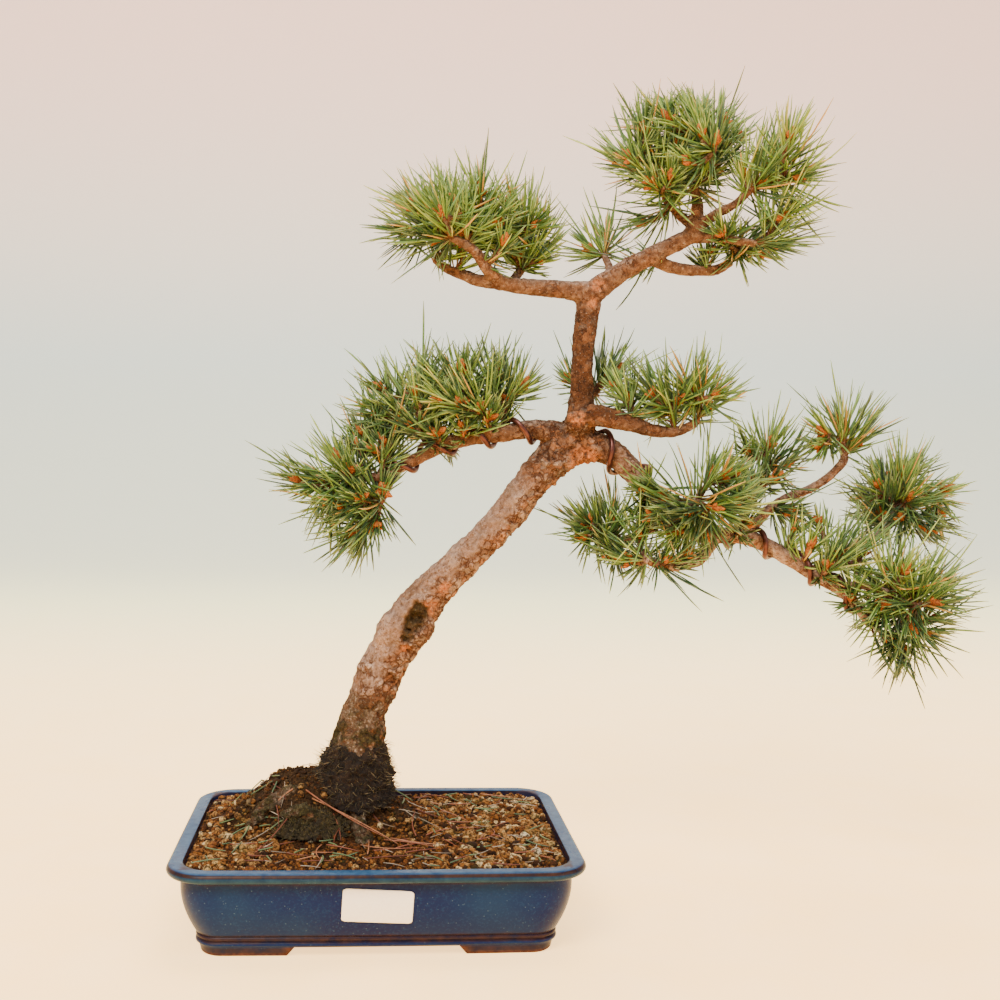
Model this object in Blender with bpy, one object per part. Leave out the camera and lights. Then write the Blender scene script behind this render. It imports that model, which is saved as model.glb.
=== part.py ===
"""A wired pine bonsai in a rectangular glazed pot.

The sizes below are in millimetres, and the meshes are made in metres. The pot's frame has
its origin under the middle of the pot, +X to the right, +Y to the back and +Z up. Heights
on the tree are counted from the soil level at the rim, so that the tree stands in a pot of
any height. At the end everything is moved together, so that the world origin lies under
the middle of the whole plant.
"""

import math

import bmesh
import bpy
from mathutils import Vector

# ---------------------------------------------------------------- driving dimensions, mm
GAP = 0.3  # clearance between two pieces that touch
CUT_GAP = 0.4  # clearance cut round the limbs and the wire
PAST = 2.0  # how far a cutter reaches beyond the face that it opens
MM = 0.001  # metres in a millimetre

POT_LENGTH = 240.0  # over the rim, along X
POT_WIDTH = 174.0  # over the rim, along Y
POT_HEIGHT = 53.0  # from the ground to the top of the rim
POT_WALL = 5.0
POT_FLOOR = 6.0
SIDE_BOW = 0.9  # how far the middle of a long side stands out
RIM_CORNER = 24.0  # corner radius of the rim's outer edge
CORNER_SHARPENING = 0.6  # how fast the corner radius falls as the wall goes in
RIM_FLAT = 9.0  # width of the rim's flat top
RIM_LIP = 6.0  # height of the rim's turned-out lip
RIM_OVERHANG = 7.6  # from the rim's outer edge in to the wall below it
RIM_UNDERCUT = 2.0  # height of the hollow under the lip
WALL_UPRIGHT = 8.0  # height of the wall's upright part, below the lip
WALL_CURVE = 1.8  # how late the wall turns in towards its foot
MOULDING_HEIGHT = 7.0  # of the two beads between the feet and the wall
BASE_INSET = 15.8  # from the rim's outer edge in to the foot of the wall
FOOT_INSET = 18.6  # from the rim's outer edge in to the feet, at the ground
FOOT_HEIGHT = 5.5
FOOT_BAND = 12.0  # width of the feet's band, seen from below
FOOT_LENGTH = 50.0  # of each foot, along the long side
FOOT_LENGTH_SIDE = 38.0  # of each foot, along the short side
FOOT_SLANT = 4.5  # how far each foot's end leans
DRAIN_RADIUS = 9.0
DRAIN_OFFSET = 62.0  # from the pot's middle to each drain hole, along X

SOIL_DROP = 2.0  # from the rim's top down to the soil
MOUND_CENTRE = (-40.0, 14.0)
MOUND_HEIGHT = 34.0
MOUND_LEFT = 47.0
MOUND_RIGHT = 58.0
MOUND_FRONT = 30.0
MOUND_BACK = 33.0
MOUND_SHARPNESS = 1.5
SOIL_RINGS = (1.0, 0.88, 0.76, 0.65, 0.54, 0.43, 0.31, 0.18)  # shares of the way out to the wall

SIDES = ((-1, "left"), (1, "right"))  # of the two drain holes, screens and clips
SCREEN_SIZE = 32.5
SCREEN_THICKNESS = 1.2
SCREEN_CELLS = 9  # strands and holes together, across the screen, with a strand at the middle
CLIP_RADIUS = 0.75
CLIP_REACH = 18.0  # how far each leg's end lies from the middle, under the pot
CLIP_BEND = 1.2

LABEL_WIDTH = 40.0
LABEL_HEIGHT = 20.0
LABEL_CORNER = 2.0
LABEL_THICKNESS = 0.3
LABEL_TILT = math.radians(-3.0)
LABEL_MIDDLE = 32.0  # height of the label's middle above the ground

WIRE_RADIUS = 1.7
LEFT_PITCH = 26.0  # the wire's advance in one turn, on the left branch
RIGHT_PITCH = 30.0
LEFT_COIL = (128.0, 15.0)  # where the wire starts and ends, along the left branch
RIGHT_COIL = (19.0, 228.0)
LEFT_PHASE = math.radians(200)
RIGHT_PHASE = math.radians(130)
WIRE_CROSSING = [(107, 15, 252), (119, 17, 244), (130, 14, 246)]  # behind the trunk's top
COIL_POINTS = 9  # in one turn
COIL_STEP = 2.0  # spacing of the limb's points that the wire follows

MOSS_THICKNESS = 2.6
MOSS_TOP = 60.0  # above the soil level
MOSS_BOTTOM = 4.0
MOSS_LIFT = 4 * GAP  # how far the moss stays above the soil
MOSS_PATCH_CENTRE = (-40.0, -22.0)
MOSS_PATCH_HALF = (24.0, 9.0)
MOSS_PATCH_THICKNESS = 2.4
MOSS_PATCH_SIDES = 20

PAD_VOXEL = 12.5

# ------------------------------------------------------------------------ the tree's limbs
# Each limb is a list of stations: x, y, height above the soil level, radius.
TRUNK = [
    (-18, 12, -12, 17), (-17, 12, 6, 23), (-16, 12, 20, 22.5), (-14, 12, 37, 19), (-12, 12, 53, 16.6),
    (-9, 12, 67, 14.6), (-5, 11, 79, 13.6), (1, 10, 95, 14.8), (9, 8, 111, 14.3),
    (18, 6, 126, 15.4), (27, 4, 141, 13.6), (39, 2, 155, 11.6), (56, 0, 172, 10.6),
    (75, -2, 192, 10.4), (93, -3, 216, 10.8), (105, -3, 230, 12.0), (118, -2, 241, 12.4),
]
LIMBS = {
    "leader": [
        (117, -2, 239, 11.4), (124, -1, 254, 10.2), (125, 0, 268, 8.0), (125, 0, 287, 7.0),
        (126, 0, 306, 7.0), (128, 0, 323, 7.6), (129, 0, 334, 8.2),
    ],
    "left_branch": [
        (117, -3, 244, 9.6), (105, -4, 249, 6.8), (92, -5, 250, 6.0), (79, -6, 248, 5.8),
        (62, -6, 246, 5.4), (49, -5, 243, 5.0), (37, -4, 239, 4.6), (26, -4, 233, 4.2),
        (16, -5, 228, 3.8), (7, -6, 223, 3.4), (-4, -6, 220, 3.0), (-18, -6, 219, 2.4),
    ],
    "left_droop": [(9, -7, 223, 3.2), (5, -11, 214, 2.8), (1, -12, 205, 2.4)],
    "left_up": [(34, -3, 238, 3.4), (25, 6, 248, 2.8), (16, 10, 259, 2.3)],
    "left_mid": [(58, -4, 245, 3.8), (55, 6, 257, 3.0), (51, 10, 268, 2.4)],
    "left_near": [(77, -4, 248, 3.8), (79, 8, 259, 3.0), (80, 14, 268, 2.4)],
    "right_branch": [
        (118, -2, 240, 11.6), (132, -2, 240, 9.8), (144, -4, 236, 8.4), (155, -7, 226, 7.4),
        (164, -9, 215, 6.6), (174, -8, 202, 6.2), (188, -5, 190, 5.8), (206, -2, 185, 5.6),
        (223, 0, 185, 5.2), (239, 0, 181, 5.0), (252, -1, 174, 4.8), (265, -2, 166, 4.6),
        (277, -3, 159, 4.4), (290, -4, 151, 4.0), (300, -5, 141, 3.4), (309, -6, 129, 2.8),
    ],
    "right_high": [
        (230, 1, 185, 4.0), (246, 10, 199, 3.3), (260, 14, 208, 3.1), (276, 15, 214, 3.0),
        (289, 14, 223, 3.0), (297, 13, 233, 2.8), (296, 13, 243, 2.4),
    ],
    "right_back": [
        (273, -1, 162, 3.8), (292, 12, 171, 3.2), (310, 20, 179, 3.0), (327, 24, 185, 2.8),
        (335, 26, 194, 2.5), (338, 27, 205, 2.2),
    ],
    "right_tip": [(288, -5, 152, 3.6), (300, -12, 155, 3.0), (315, -16, 151, 2.5), (330, -18, 144, 2.1)],
    "right_under": [
        (210, -2, 185, 4.6), (199, -14, 173, 3.8), (186, -22, 168, 3.4), (172, -27, 168, 3.0),
        (160, -32, 172, 2.5),
    ],
    "right_inner": [(186, -6, 192, 4.0), (189, -20, 201, 3.0), (191, -30, 209, 2.4)],
    "right_left": [(180, -6, 196, 3.8), (168, 0, 188, 3.0), (155, 6, 182, 2.6), (142, 10, 180, 2.2)],
    "right_up": [(224, 0, 186, 3.8), (233, 9, 201, 3.0), (242, 14, 216, 2.6), (249, 16, 229, 2.2)],
    "upper_left": [
        (131, 0, 334, 8.4), (118, -1, 336, 6.2), (101, -2, 337, 5.4), (85, -3, 338, 5.0),
        (72, -4, 340, 4.6), (60, -3, 341, 4.0), (50, 0, 345, 3.6), (41, 4, 349, 3.0),
        (33, 8, 355, 2.4),
    ],
    "upper_left_front": [
        (74, -4, 340, 4.2), (64, -12, 347, 3.8), (58, -16, 355, 3.4), (51, -18, 360, 3.0),
        (42, -20, 364, 2.5),
    ],
    "upper_left_back": [(80, -2, 339, 3.6), (88, 10, 350, 2.7), (98, 18, 357, 2.2)],
    "apex": [
        (128, 0, 333, 8.6), (143, 0, 344, 6.6), (157, -1, 353, 6.0), (170, -1, 360, 5.6),
        (182, -1, 366, 5.4), (191, -1, 371, 5.2), (195, -1, 380, 4.4), (196, 0, 390, 3.5),
        (194, 2, 402, 2.8),
    ],
    "apex_low": [
        (166, 1, 358, 4.8), (180, 6, 353, 4.1), (195, 8, 351, 3.8), (211, 10, 352, 3.4),
        (221, 12, 357, 2.8),
    ],
    "apex_side": [(191, -1, 370, 4.2), (208, -8, 369, 3.2), (219, -12, 366, 2.8), (227, -15, 365, 2.4)],
    "apex_right": [(194, -2, 375, 4.0), (205, -8, 383, 3.1), (215, -14, 388, 2.7), (223, -20, 396, 2.4)],
    "apex_left": [(194, 1, 377, 3.6), (185, 6, 386, 2.8), (177, 8, 395, 2.3)],
    "fork_shoot": [(143, 2, 344, 3.8), (144, 15, 354, 2.8), (143, 26, 362, 2.2)],
    "middle_right": [
        (123, -4, 255, 8.6), (129, -12, 259, 7.2), (141, -17, 257, 6.4), (152, -19, 254, 5.4),
        (161, -20, 251, 4.4), (171, -20, 249, 3.7), (182, -20, 250, 3.2), (192, -21, 255, 2.6),
    ],
    "leader_shoot": [(126, 3, 270, 3.8), (136, 12, 275, 2.8), (142, 14, 283, 2.3)],
}
ROOTS = {
    "root_left": [
        (-20, 11, 14, 10), (-42, 4, 22, 6.8), (-60, -3, 21, 5.0), (-73, -10, 11, 4.0),
        (-80, -16, -1, 2.8),
    ],
    "root_front": [(-16, 8, 8, 10), (-13, -12, 9, 6.4), (-8, -26, -1, 4.6), (0, -40, -11, 3.0)],
    "root_right": [(-12, 12, 4, 10), (14, 8, 4, 6.4), (36, 4, -6, 4.4), (56, 2, -14, 3.0)],
    "root_back": [(-18, 16, 6, 10), (-20, 32, 4, 6.0), (-24, 44, -10, 3.6)],
    "root_left_back": [(-22, 14, 10, 10), (-48, 22, 16, 6.0), (-66, 30, 4, 4.4), (-78, 36, -8, 3.0)],
    "root_down": [(-18, 12, -4, 14), (-15, 11, -14, 9), (-12, 8, -22, 4)],
}
TRUNK_SIDES = 12
LIMB_SIDES = 6
WIRE_SIDES = 5
TRUNK_STEP = 14.0  # spacing of the rings along the trunk
LIMB_STEP = 17.0
TUBE_DOME = 0.5  # how far a tube's end stands out, in radii

# Each foliage pad is a list of lumps: x, y, height above the soil level, half sizes.
PADS = {
    "needles_upper_left": [
        (34, -8, 374, 33, 34, 25), (60, 0, 382, 28, 34, 20), (86, 10, 372, 30, 30, 23),
    ],
    "needles_apex": [
        (190, 6, 431, 37, 34, 30), (164, 8, 424, 27, 30, 24), (188, 6, 403, 22, 24, 18),
        (168, 12, 385, 17, 18, 14),
    ],
    "needles_apex_right": [
        (238, -29, 415, 22, 26, 22), (243, -20, 378, 28, 28, 20), (216, 0, 362, 20, 20, 10),
    ],
    "needles_behind_fork": [(143, 36, 367, 22, 22, 20)],
    "needles_middle_left": [
        (47, 8, 274, 43, 38, 24), (79, 14, 276, 22, 28, 21), (13, 10, 262, 30, 34, 24),
    ],
    "needles_left_droop": [(-29, -8, 221, 34, 26, 19), (-13, -13, 194, 22, 24, 29)],
    "needles_middle_right": [(185, -18, 270, 32, 30, 22), (160, -16, 267, 22, 22, 16)],
    "needles_by_leader": [(146, 20, 286, 17, 16, 17)],
    "needles_right_inner": [(187, -37, 212, 31, 28, 30)],
    "needles_right_low": [(147, 4, 186, 31, 28, 20), (164, -30, 168, 28, 20, 12)],
    "needles_right_upper": [(247, 17, 236, 24, 26, 23)],
    "needles_right_tuft": [(300, 12, 254, 26, 26, 18)],
    "needles_right_back": [(346, 30, 208, 36, 30, 30)],
    "needles_right_tip": [
        (295, -6, 173, 24, 24, 20), (326, -18, 149, 36, 30, 24), (316, -12, 122, 25, 25, 20),
    ],
}

COLOURS = {
    "pot": ((0.035, 0.085, 0.19), 0.16, 0.0),
    "soil": ((0.30, 0.17, 0.075), 0.95, 0.0),
    "bark": ((0.36, 0.22, 0.14), 0.9, 0.0),
    "needles": ((0.13, 0.22, 0.055), 0.6, 0.0),
    "moss": ((0.045, 0.04, 0.02), 1.0, 0.0),
    "green_moss": ((0.09, 0.10, 0.03), 1.0, 0.0),
    "wire": ((0.16, 0.07, 0.05), 0.4, 0.9),
    "label": ((0.80, 0.77, 0.70), 0.5, 0.0),
    "screen": ((0.05, 0.06, 0.05), 0.5, 0.0),
    "clip": ((0.75, 0.75, 0.76), 0.35, 1.0),
}

SOIL_LEVEL = POT_HEIGHT - SOIL_DROP
FLOOR_TOP = FOOT_HEIGHT + POT_FLOOR


# --------------------------------------------------------------------------- scene helpers
def clear_scene():
    for old in list(bpy.data.objects):
        bpy.data.objects.remove(old)


def material(name):
    """The Principled material of one finish, made the first time that it is asked for."""
    found = bpy.data.materials.get(name)
    if found:
        return found
    colour, roughness, metallic = COLOURS[name]
    made = bpy.data.materials.new(name)
    made.use_nodes = True
    shader = made.node_tree.nodes["Principled BSDF"]
    shader.inputs["Base Color"].default_value = (*colour, 1.0)
    shader.inputs["Roughness"].default_value = roughness
    shader.inputs["Metallic"].default_value = metallic
    made.diffuse_color = (*colour, 1.0)
    return made


def add_object(name, bm, finish, smooth=True):
    """A named object from a bmesh in millimetres."""
    bmesh.ops.scale(bm, vec=(MM, MM, MM), verts=bm.verts)
    mesh = bpy.data.meshes.new(name)
    bm.to_mesh(mesh)
    bm.free()
    if smooth:
        mesh.shade_smooth()
    obj = bpy.data.objects.new(name, mesh)
    obj.data.materials.append(material(finish))
    bpy.context.scene.collection.objects.link(obj)
    return obj


def as_cutter(obj):
    obj.hide_render = True
    obj.display_type = "WIRE"
    return obj


def combine(obj, other, operation="DIFFERENCE"):
    modifier = obj.modifiers.new(f"{operation.lower()}_{other.name}", "BOOLEAN")
    modifier.operation = operation
    modifier.object = other
    return obj


def loft(bm, rings, closed_ends=True):
    """Quads between rings with the same number of points, and flat caps at both ends."""
    loops = [[bm.verts.new(point) for point in ring] for ring in rings]
    count = len(loops[0])
    for low, high in zip(loops, loops[1:]):
        for i in range(count):
            j = (i + 1) % count
            bm.faces.new((low[i], low[j], high[j], high[i]))
    if closed_ends:
        bm.faces.new(reversed(loops[0]))
        bm.faces.new(loops[-1])
    return loops


def cylinder(name, centre, radius, low, high, sides=32):
    bm = bmesh.new()
    turn = [math.tau * i / sides for i in range(sides)]
    loft(bm, [
        [(centre[0] + radius * math.cos(a), centre[1] + radius * math.sin(a), z) for a in turn]
        for z in (low, high)
    ])
    return add_object(name, bm, "screen")


# -------------------------------------------------------------------------------- the pot
def pot_outline(inset, z, corner_steps=4, long_steps=4, short_steps=2):
    """One ring of the pot, anticlockwise from above, as far in from the rim as inset."""
    half_x = POT_LENGTH / 2 - inset
    half_y = POT_WIDTH / 2 - inset
    radius = RIM_CORNER - CORNER_SHARPENING * inset
    points = []
    for quarter in range(4):
        sign_x = (1, -1, -1, 1)[quarter]
        sign_y = (1, 1, -1, -1)[quarter]
        centre = (sign_x * (half_x - radius), sign_y * (half_y - radius))
        for i in range(corner_steps + 1):
            angle = math.pi / 2 * (quarter + i / corner_steps)
            points.append((centre[0] + radius * math.cos(angle), centre[1] + radius * math.sin(angle)))
        steps = long_steps if quarter % 2 == 0 else short_steps
        start = points[-1]
        end_x = start[0] if steps == short_steps else -start[0]
        end_y = -start[1] if steps == short_steps else start[1]
        for i in range(1, steps):
            t = i / steps
            points.append((start[0] + (end_x - start[0]) * t, start[1] + (end_y - start[1]) * t))
    reach = half_x - radius
    return [
        (x, y + math.copysign(SIDE_BOW * max(0.0, 1 - (x / reach) ** 2), y), z)
        for x, y in points
    ]


def wall_inset(z):
    """How far the outer wall lies in from the rim at a height between moulding and lip."""
    low = FOOT_HEIGHT + MOULDING_HEIGHT
    high = POT_HEIGHT - RIM_LIP - WALL_UPRIGHT
    t = min(1.0, max(0.0, (z - low) / (high - low)))
    return RIM_OVERHANG + (BASE_INSET - RIM_OVERHANG) * (1 - t) ** WALL_CURVE


def outer_profile():
    """The pot's outside, from the ground to the rim's inner edge: inset and height."""
    foot = FOOT_HEIGHT
    lip = POT_HEIGHT - RIM_LIP
    top = POT_HEIGHT
    base = BASE_INSET
    profile = [
        (FOOT_INSET + 0.6, 0.0), (FOOT_INSET, 0.6), (base + 1.6, foot + 0.6),
        (base + 0.1, foot + 1.4), (base + 0.1, foot + 2.8), (base + 1.2, foot + 3.6),
        (base + 0.2, foot + 4.5), (base + 0.2, foot + 5.7), (base + 0.9, foot + 6.5),
    ]
    low = foot + MOULDING_HEIGHT
    high = lip - RIM_UNDERCUT
    profile += [(wall_inset(z), z) for z in (low + (high - low) * i / 7 for i in range(8))]
    profile += [
        (RIM_OVERHANG - 0.9, lip - 0.6), (2.6, lip + 0.1), (0.8, lip + 1.1), (0.0, lip + 3.0),
        (0.6, top - 1.2), (2.4, top), (RIM_FLAT - 0.8, top), (RIM_FLAT, top - 0.8),
    ]
    return profile


def cavity_inset(z):
    """How far the inner wall lies in from the rim's outer edge."""
    flare_low = POT_HEIGHT - RIM_LIP - RIM_UNDERCUT
    flare_high = POT_HEIGHT - 1.0
    if z >= flare_low:
        t = (z - flare_low) / (flare_high - flare_low)
        return (RIM_OVERHANG + POT_WALL) * (1 - t) + RIM_FLAT * t
    return wall_inset(z) + POT_WALL


def cavity_heights():
    high = POT_HEIGHT - RIM_LIP - RIM_UNDERCUT
    return [FLOOR_TOP + (high - FLOOR_TOP) * i / 4 for i in range(5)]


def make_pot():
    bm = bmesh.new()
    profile = outer_profile()
    profile += [(cavity_inset(z), z) for z in reversed(cavity_heights())]
    loft(bm, [pot_outline(inset, z) for inset, z in profile])
    pot = add_object("pot", bm, "pot")

    bm = bmesh.new()
    band = FOOT_INSET + FOOT_BAND
    loft(bm, [pot_outline(band, -PAST), pot_outline(band, FOOT_HEIGHT)])
    combine(pot, as_cutter(add_object("cut_under_pot", bm, "pot")))

    half_x = POT_LENGTH / 2 - FOOT_INSET
    half_y = POT_WIDTH / 2 - FOOT_INSET
    slots = {
        "cut_between_long": (half_x - FOOT_LENGTH, POT_WIDTH, True),
        "cut_between_short": (half_y - FOOT_LENGTH_SIDE, POT_LENGTH, False),
    }
    lean = FOOT_SLANT / FOOT_HEIGHT
    for name, (half_gap, reach, along_y) in slots.items():
        section = [
            (-half_gap - PAST * lean, -PAST), (half_gap + PAST * lean, -PAST),
            (half_gap - FOOT_SLANT, FOOT_HEIGHT), (-half_gap + FOOT_SLANT, FOOT_HEIGHT),
        ]
        bm = bmesh.new()
        if along_y:
            loft(bm, [[(across, y, z) for across, z in section] for y in (reach, -reach)])
        else:
            loft(bm, [[(x, across, z) for across, z in section] for x in (-reach, reach)])
        combine(pot, as_cutter(add_object(name, bm, "pot", smooth=False)))
    for side, word in SIDES:
        centre = (side * DRAIN_OFFSET, 0)
        cutter = cylinder(f"cut_drain_{word}", centre, DRAIN_RADIUS, FOOT_HEIGHT - PAST, FLOOR_TOP + PAST)
        combine(pot, as_cutter(cutter))
    return pot


# ------------------------------------------------------------------------------- the soil
def mound(x, y):
    """Height of the root mound above the soil level."""
    dx = x - MOUND_CENTRE[0]
    dy = y - MOUND_CENTRE[1]
    across = dx / (MOUND_LEFT if dx < 0 else MOUND_RIGHT)
    along = dy / (MOUND_FRONT if dy < 0 else MOUND_BACK)
    return MOUND_HEIGHT * math.exp(-((across ** 2 + along ** 2) ** MOUND_SHARPNESS))


def soil_surface(edge, lift):
    """Rings of the soil's top, from the wall in to the mound's middle."""
    rings = []
    for scale in SOIL_RINGS:
        ring = []
        for x, y, _ in edge:
            x = MOUND_CENTRE[0] + (x - MOUND_CENTRE[0]) * scale
            y = MOUND_CENTRE[1] + (y - MOUND_CENTRE[1]) * scale
            ring.append((x, y, SOIL_LEVEL + mound(x, y) + lift))
        rings.append(ring)
    return rings


def soil_body(name, lift):
    bm = bmesh.new()
    heights = [FLOOR_TOP + GAP] + cavity_heights()[1:] + [SOIL_LEVEL - 1.0]
    rings = [pot_outline(cavity_inset(z) + GAP, z) for z in heights]
    edge = pot_outline(cavity_inset(SOIL_LEVEL) + GAP, SOIL_LEVEL)
    loft(bm, rings + soil_surface(edge, lift))
    bmesh.ops.triangulate(bm, faces=bm.faces, quad_method="FIXED")
    return add_object(name, bm, "soil")


def pocket(side, word):
    """The room in the soil for a drain screen and the bridge of its clip."""
    half = SCREEN_SIZE / 2 + GAP
    top = FLOOR_TOP + 3 * GAP + SCREEN_THICKNESS + 2 * CLIP_RADIUS
    middle = side * DRAIN_OFFSET
    bm = bmesh.new()
    loft(bm, [
        [(middle + sx * half, sy * half, z) for sx, sy in ((-1, -1), (1, -1), (1, 1), (-1, 1))]
        for z in (FLOOR_TOP - PAST, top + GAP)
    ])
    return as_cutter(add_object(f"cut_pocket_{word}", bm, "soil", smooth=False))


# ------------------------------------------------------------------------------- the tree
def smooth_path(stations, step):
    """A Catmull-Rom curve through the stations, as points with a radius."""
    points = [Vector(s) for s in stations]
    points = [2 * points[0] - points[1]] + points + [2 * points[-1] - points[-2]]
    path = []
    for i in range(1, len(points) - 2):
        before, start, end, after = points[i - 1:i + 3]
        steps = max(1, round((end - start).to_3d().length / step))
        for k in range(steps):
            t = k / steps
            path.append(0.5 * (
                2 * start + (end - before) * t
                + (2 * before - 5 * start + 4 * end - after) * t * t
                + (3 * start - before - 3 * end + after) * t ** 3
            ))
    path.append(points[-2])
    return path


def tangents(centres):
    last = len(centres) - 1
    return [
        (centres[min(i + 1, last)] - centres[max(i - 1, 0)]).normalized()
        for i in range(len(centres))
    ]


def tube(path, sides, grow=0.0):
    """A closed tapered tube along points that carry a radius, with domed ends."""
    centres = [point.to_3d() for point in path]
    radii = [point[3] + grow for point in path]
    along = tangents(centres)
    side = along[0].orthogonal().normalized()
    rings = []
    for centre, radius, tangent in zip(centres, radii, along):
        side = (side - tangent * side.dot(tangent)).normalized()
        other = tangent.cross(side)
        rings.append([
            centre + radius * (side * math.cos(a) + other * math.sin(a))
            for a in (math.tau * k / sides for k in range(sides))
        ])
    bm = bmesh.new()
    loops = loft(bm, rings, closed_ends=False)
    ends = (
        (loops[0], centres[0] - along[0] * radii[0] * TUBE_DOME, True),
        (loops[-1], centres[-1] + along[-1] * radii[-1] * TUBE_DOME, False),
    )
    for loop, tip, first in ends:
        apex = bm.verts.new(tip)
        for k in range(sides):
            a, b = loop[k], loop[(k + 1) % sides]
            bm.faces.new((b, a, apex) if first else (a, b, apex))
    return bm


def lifted(stations):
    return [(x, y, SOIL_LEVEL + z, r) for x, y, z, r in stations]


def make_tree(name, grow=0.0):
    """The trunk, with every branch and root joined to it as one body."""
    tree = add_object(name, tube(smooth_path(lifted(TRUNK), TRUNK_STEP), TRUNK_SIDES, grow), "bark")
    others = bpy.data.collections.new(f"{name}_limbs")
    bpy.context.scene.collection.children.link(others)
    for limb, stations in {**LIMBS, **ROOTS}.items():
        path = smooth_path(lifted(stations), LIMB_STEP)
        piece = as_cutter(add_object(f"{name}_{limb}", tube(path, LIMB_SIDES, grow), "bark"))
        bpy.context.scene.collection.objects.unlink(piece)
        others.objects.link(piece)
    union = tree.modifiers.new("join_limbs", "BOOLEAN")
    union.operation = "UNION"
    union.operand_type = "COLLECTION"
    union.collection = others
    return tree


# ----------------------------------------------------------------------- the training wire
def coil(stations, start, end, pitch, phase):
    """The wire's turns round a limb, from one distance along it to another."""
    fine = smooth_path(lifted(stations), COIL_STEP)
    centres = [point.to_3d() for point in fine]
    along = tangents(centres)
    distance = [0.0]
    for a, b in zip(centres, centres[1:]):
        distance.append(distance[-1] + (b - a).length)
    turns = []
    count = max(2, round(abs(end - start) / pitch * COIL_POINTS))
    for k in range(count + 1):
        s = start + (end - start) * k / count
        i = max(j for j in range(len(distance)) if distance[j] <= s or j == 0)
        i = min(i, len(distance) - 2)
        t = (s - distance[i]) / (distance[i + 1] - distance[i])
        centre = centres[i].lerp(centres[i + 1], t)
        radius = fine[i][3] + (fine[i + 1][3] - fine[i][3]) * t
        tangent = along[i].lerp(along[i + 1], t).normalized()
        up = Vector((0, 0, 1))
        up = (up - tangent * up.dot(tangent)).normalized()
        other = tangent.cross(up)
        angle = phase + math.tau * s / pitch
        out = radius + WIRE_RADIUS + GAP
        point = centre + out * (up * math.cos(angle) + other * math.sin(angle))
        turns.append(point)
    return turns


def make_wire(name, grow=0.0):
    """One wire: round the left branch, behind the trunk and round the right branch."""
    left = coil(LIMBS["left_branch"], *LEFT_COIL, LEFT_PITCH, LEFT_PHASE)
    right = coil(LIMBS["right_branch"], *RIGHT_COIL, RIGHT_PITCH, RIGHT_PHASE)
    behind = [(x, y, SOIL_LEVEL + z) for x, y, z in WIRE_CROSSING]
    path = [Vector((*point, WIRE_RADIUS)) for point in left + behind + right]
    return add_object(name, tube(path, WIRE_SIDES, grow), "wire")


# ------------------------------------------------------------------ foliage, moss and label
def make_pad(name, lumps):
    """One closed cushion of needles, from lumps that run into each other."""
    bm = bmesh.new()
    for x, y, z, half_x, half_y, half_z in lumps:
        made = bmesh.ops.create_icosphere(bm, subdivisions=3, radius=1.0)
        bmesh.ops.scale(bm, vec=(half_x, half_y, half_z), verts=made["verts"])
        bmesh.ops.translate(bm, vec=(x, y, SOIL_LEVEL + z), verts=made["verts"])
    pad = add_object(name, bm, "needles")
    remesh = pad.modifiers.new("one_skin", "REMESH")
    remesh.mode = "VOXEL"
    remesh.voxel_size = PAD_VOXEL * MM
    remesh.use_smooth_shade = True
    return pad


def make_moss_collar():
    """The dark mossy sleeve round the foot of the trunk."""
    path = [
        point for point in smooth_path(lifted(TRUNK), TRUNK_STEP / 2)
        if SOIL_LEVEL + MOSS_BOTTOM <= point[2] <= SOIL_LEVEL + MOSS_TOP
    ]
    return add_object("moss_collar", tube(path, TRUNK_SIDES, MOSS_THICKNESS), "moss")


def make_moss_patch():
    """A thin mat of moss on the front of the mound."""
    centre_x, centre_y = MOSS_PATCH_CENTRE
    half_x, half_y = MOSS_PATCH_HALF
    turn = [math.tau * i / MOSS_PATCH_SIDES for i in range(MOSS_PATCH_SIDES)]
    low = []
    high = []
    for scale in (0.01, 0.25, 0.5, 0.75, 1.0):
        points = [
            (centre_x + scale * half_x * math.cos(a), centre_y + scale * half_y * math.sin(a))
            for a in turn
        ]
        rise = MOSS_LIFT + MOSS_PATCH_THICKNESS * (1 - 0.6 * scale ** 3)
        low.append([(x, y, SOIL_LEVEL + mound(x, y) - MOSS_PATCH_THICKNESS) for x, y in points])
        high.append([(x, y, SOIL_LEVEL + mound(x, y) + rise) for x, y in points])
    bm = bmesh.new()
    loft(bm, low + high[::-1])
    return add_object("moss_patch", bm, "green_moss")


def front_wall(x, z):
    """Where the pot's front wall lies."""
    reach = POT_LENGTH / 2 - RIM_CORNER
    return -(POT_WIDTH / 2 - wall_inset(z) + SIDE_BOW * (1 - (x / reach) ** 2))


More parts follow.
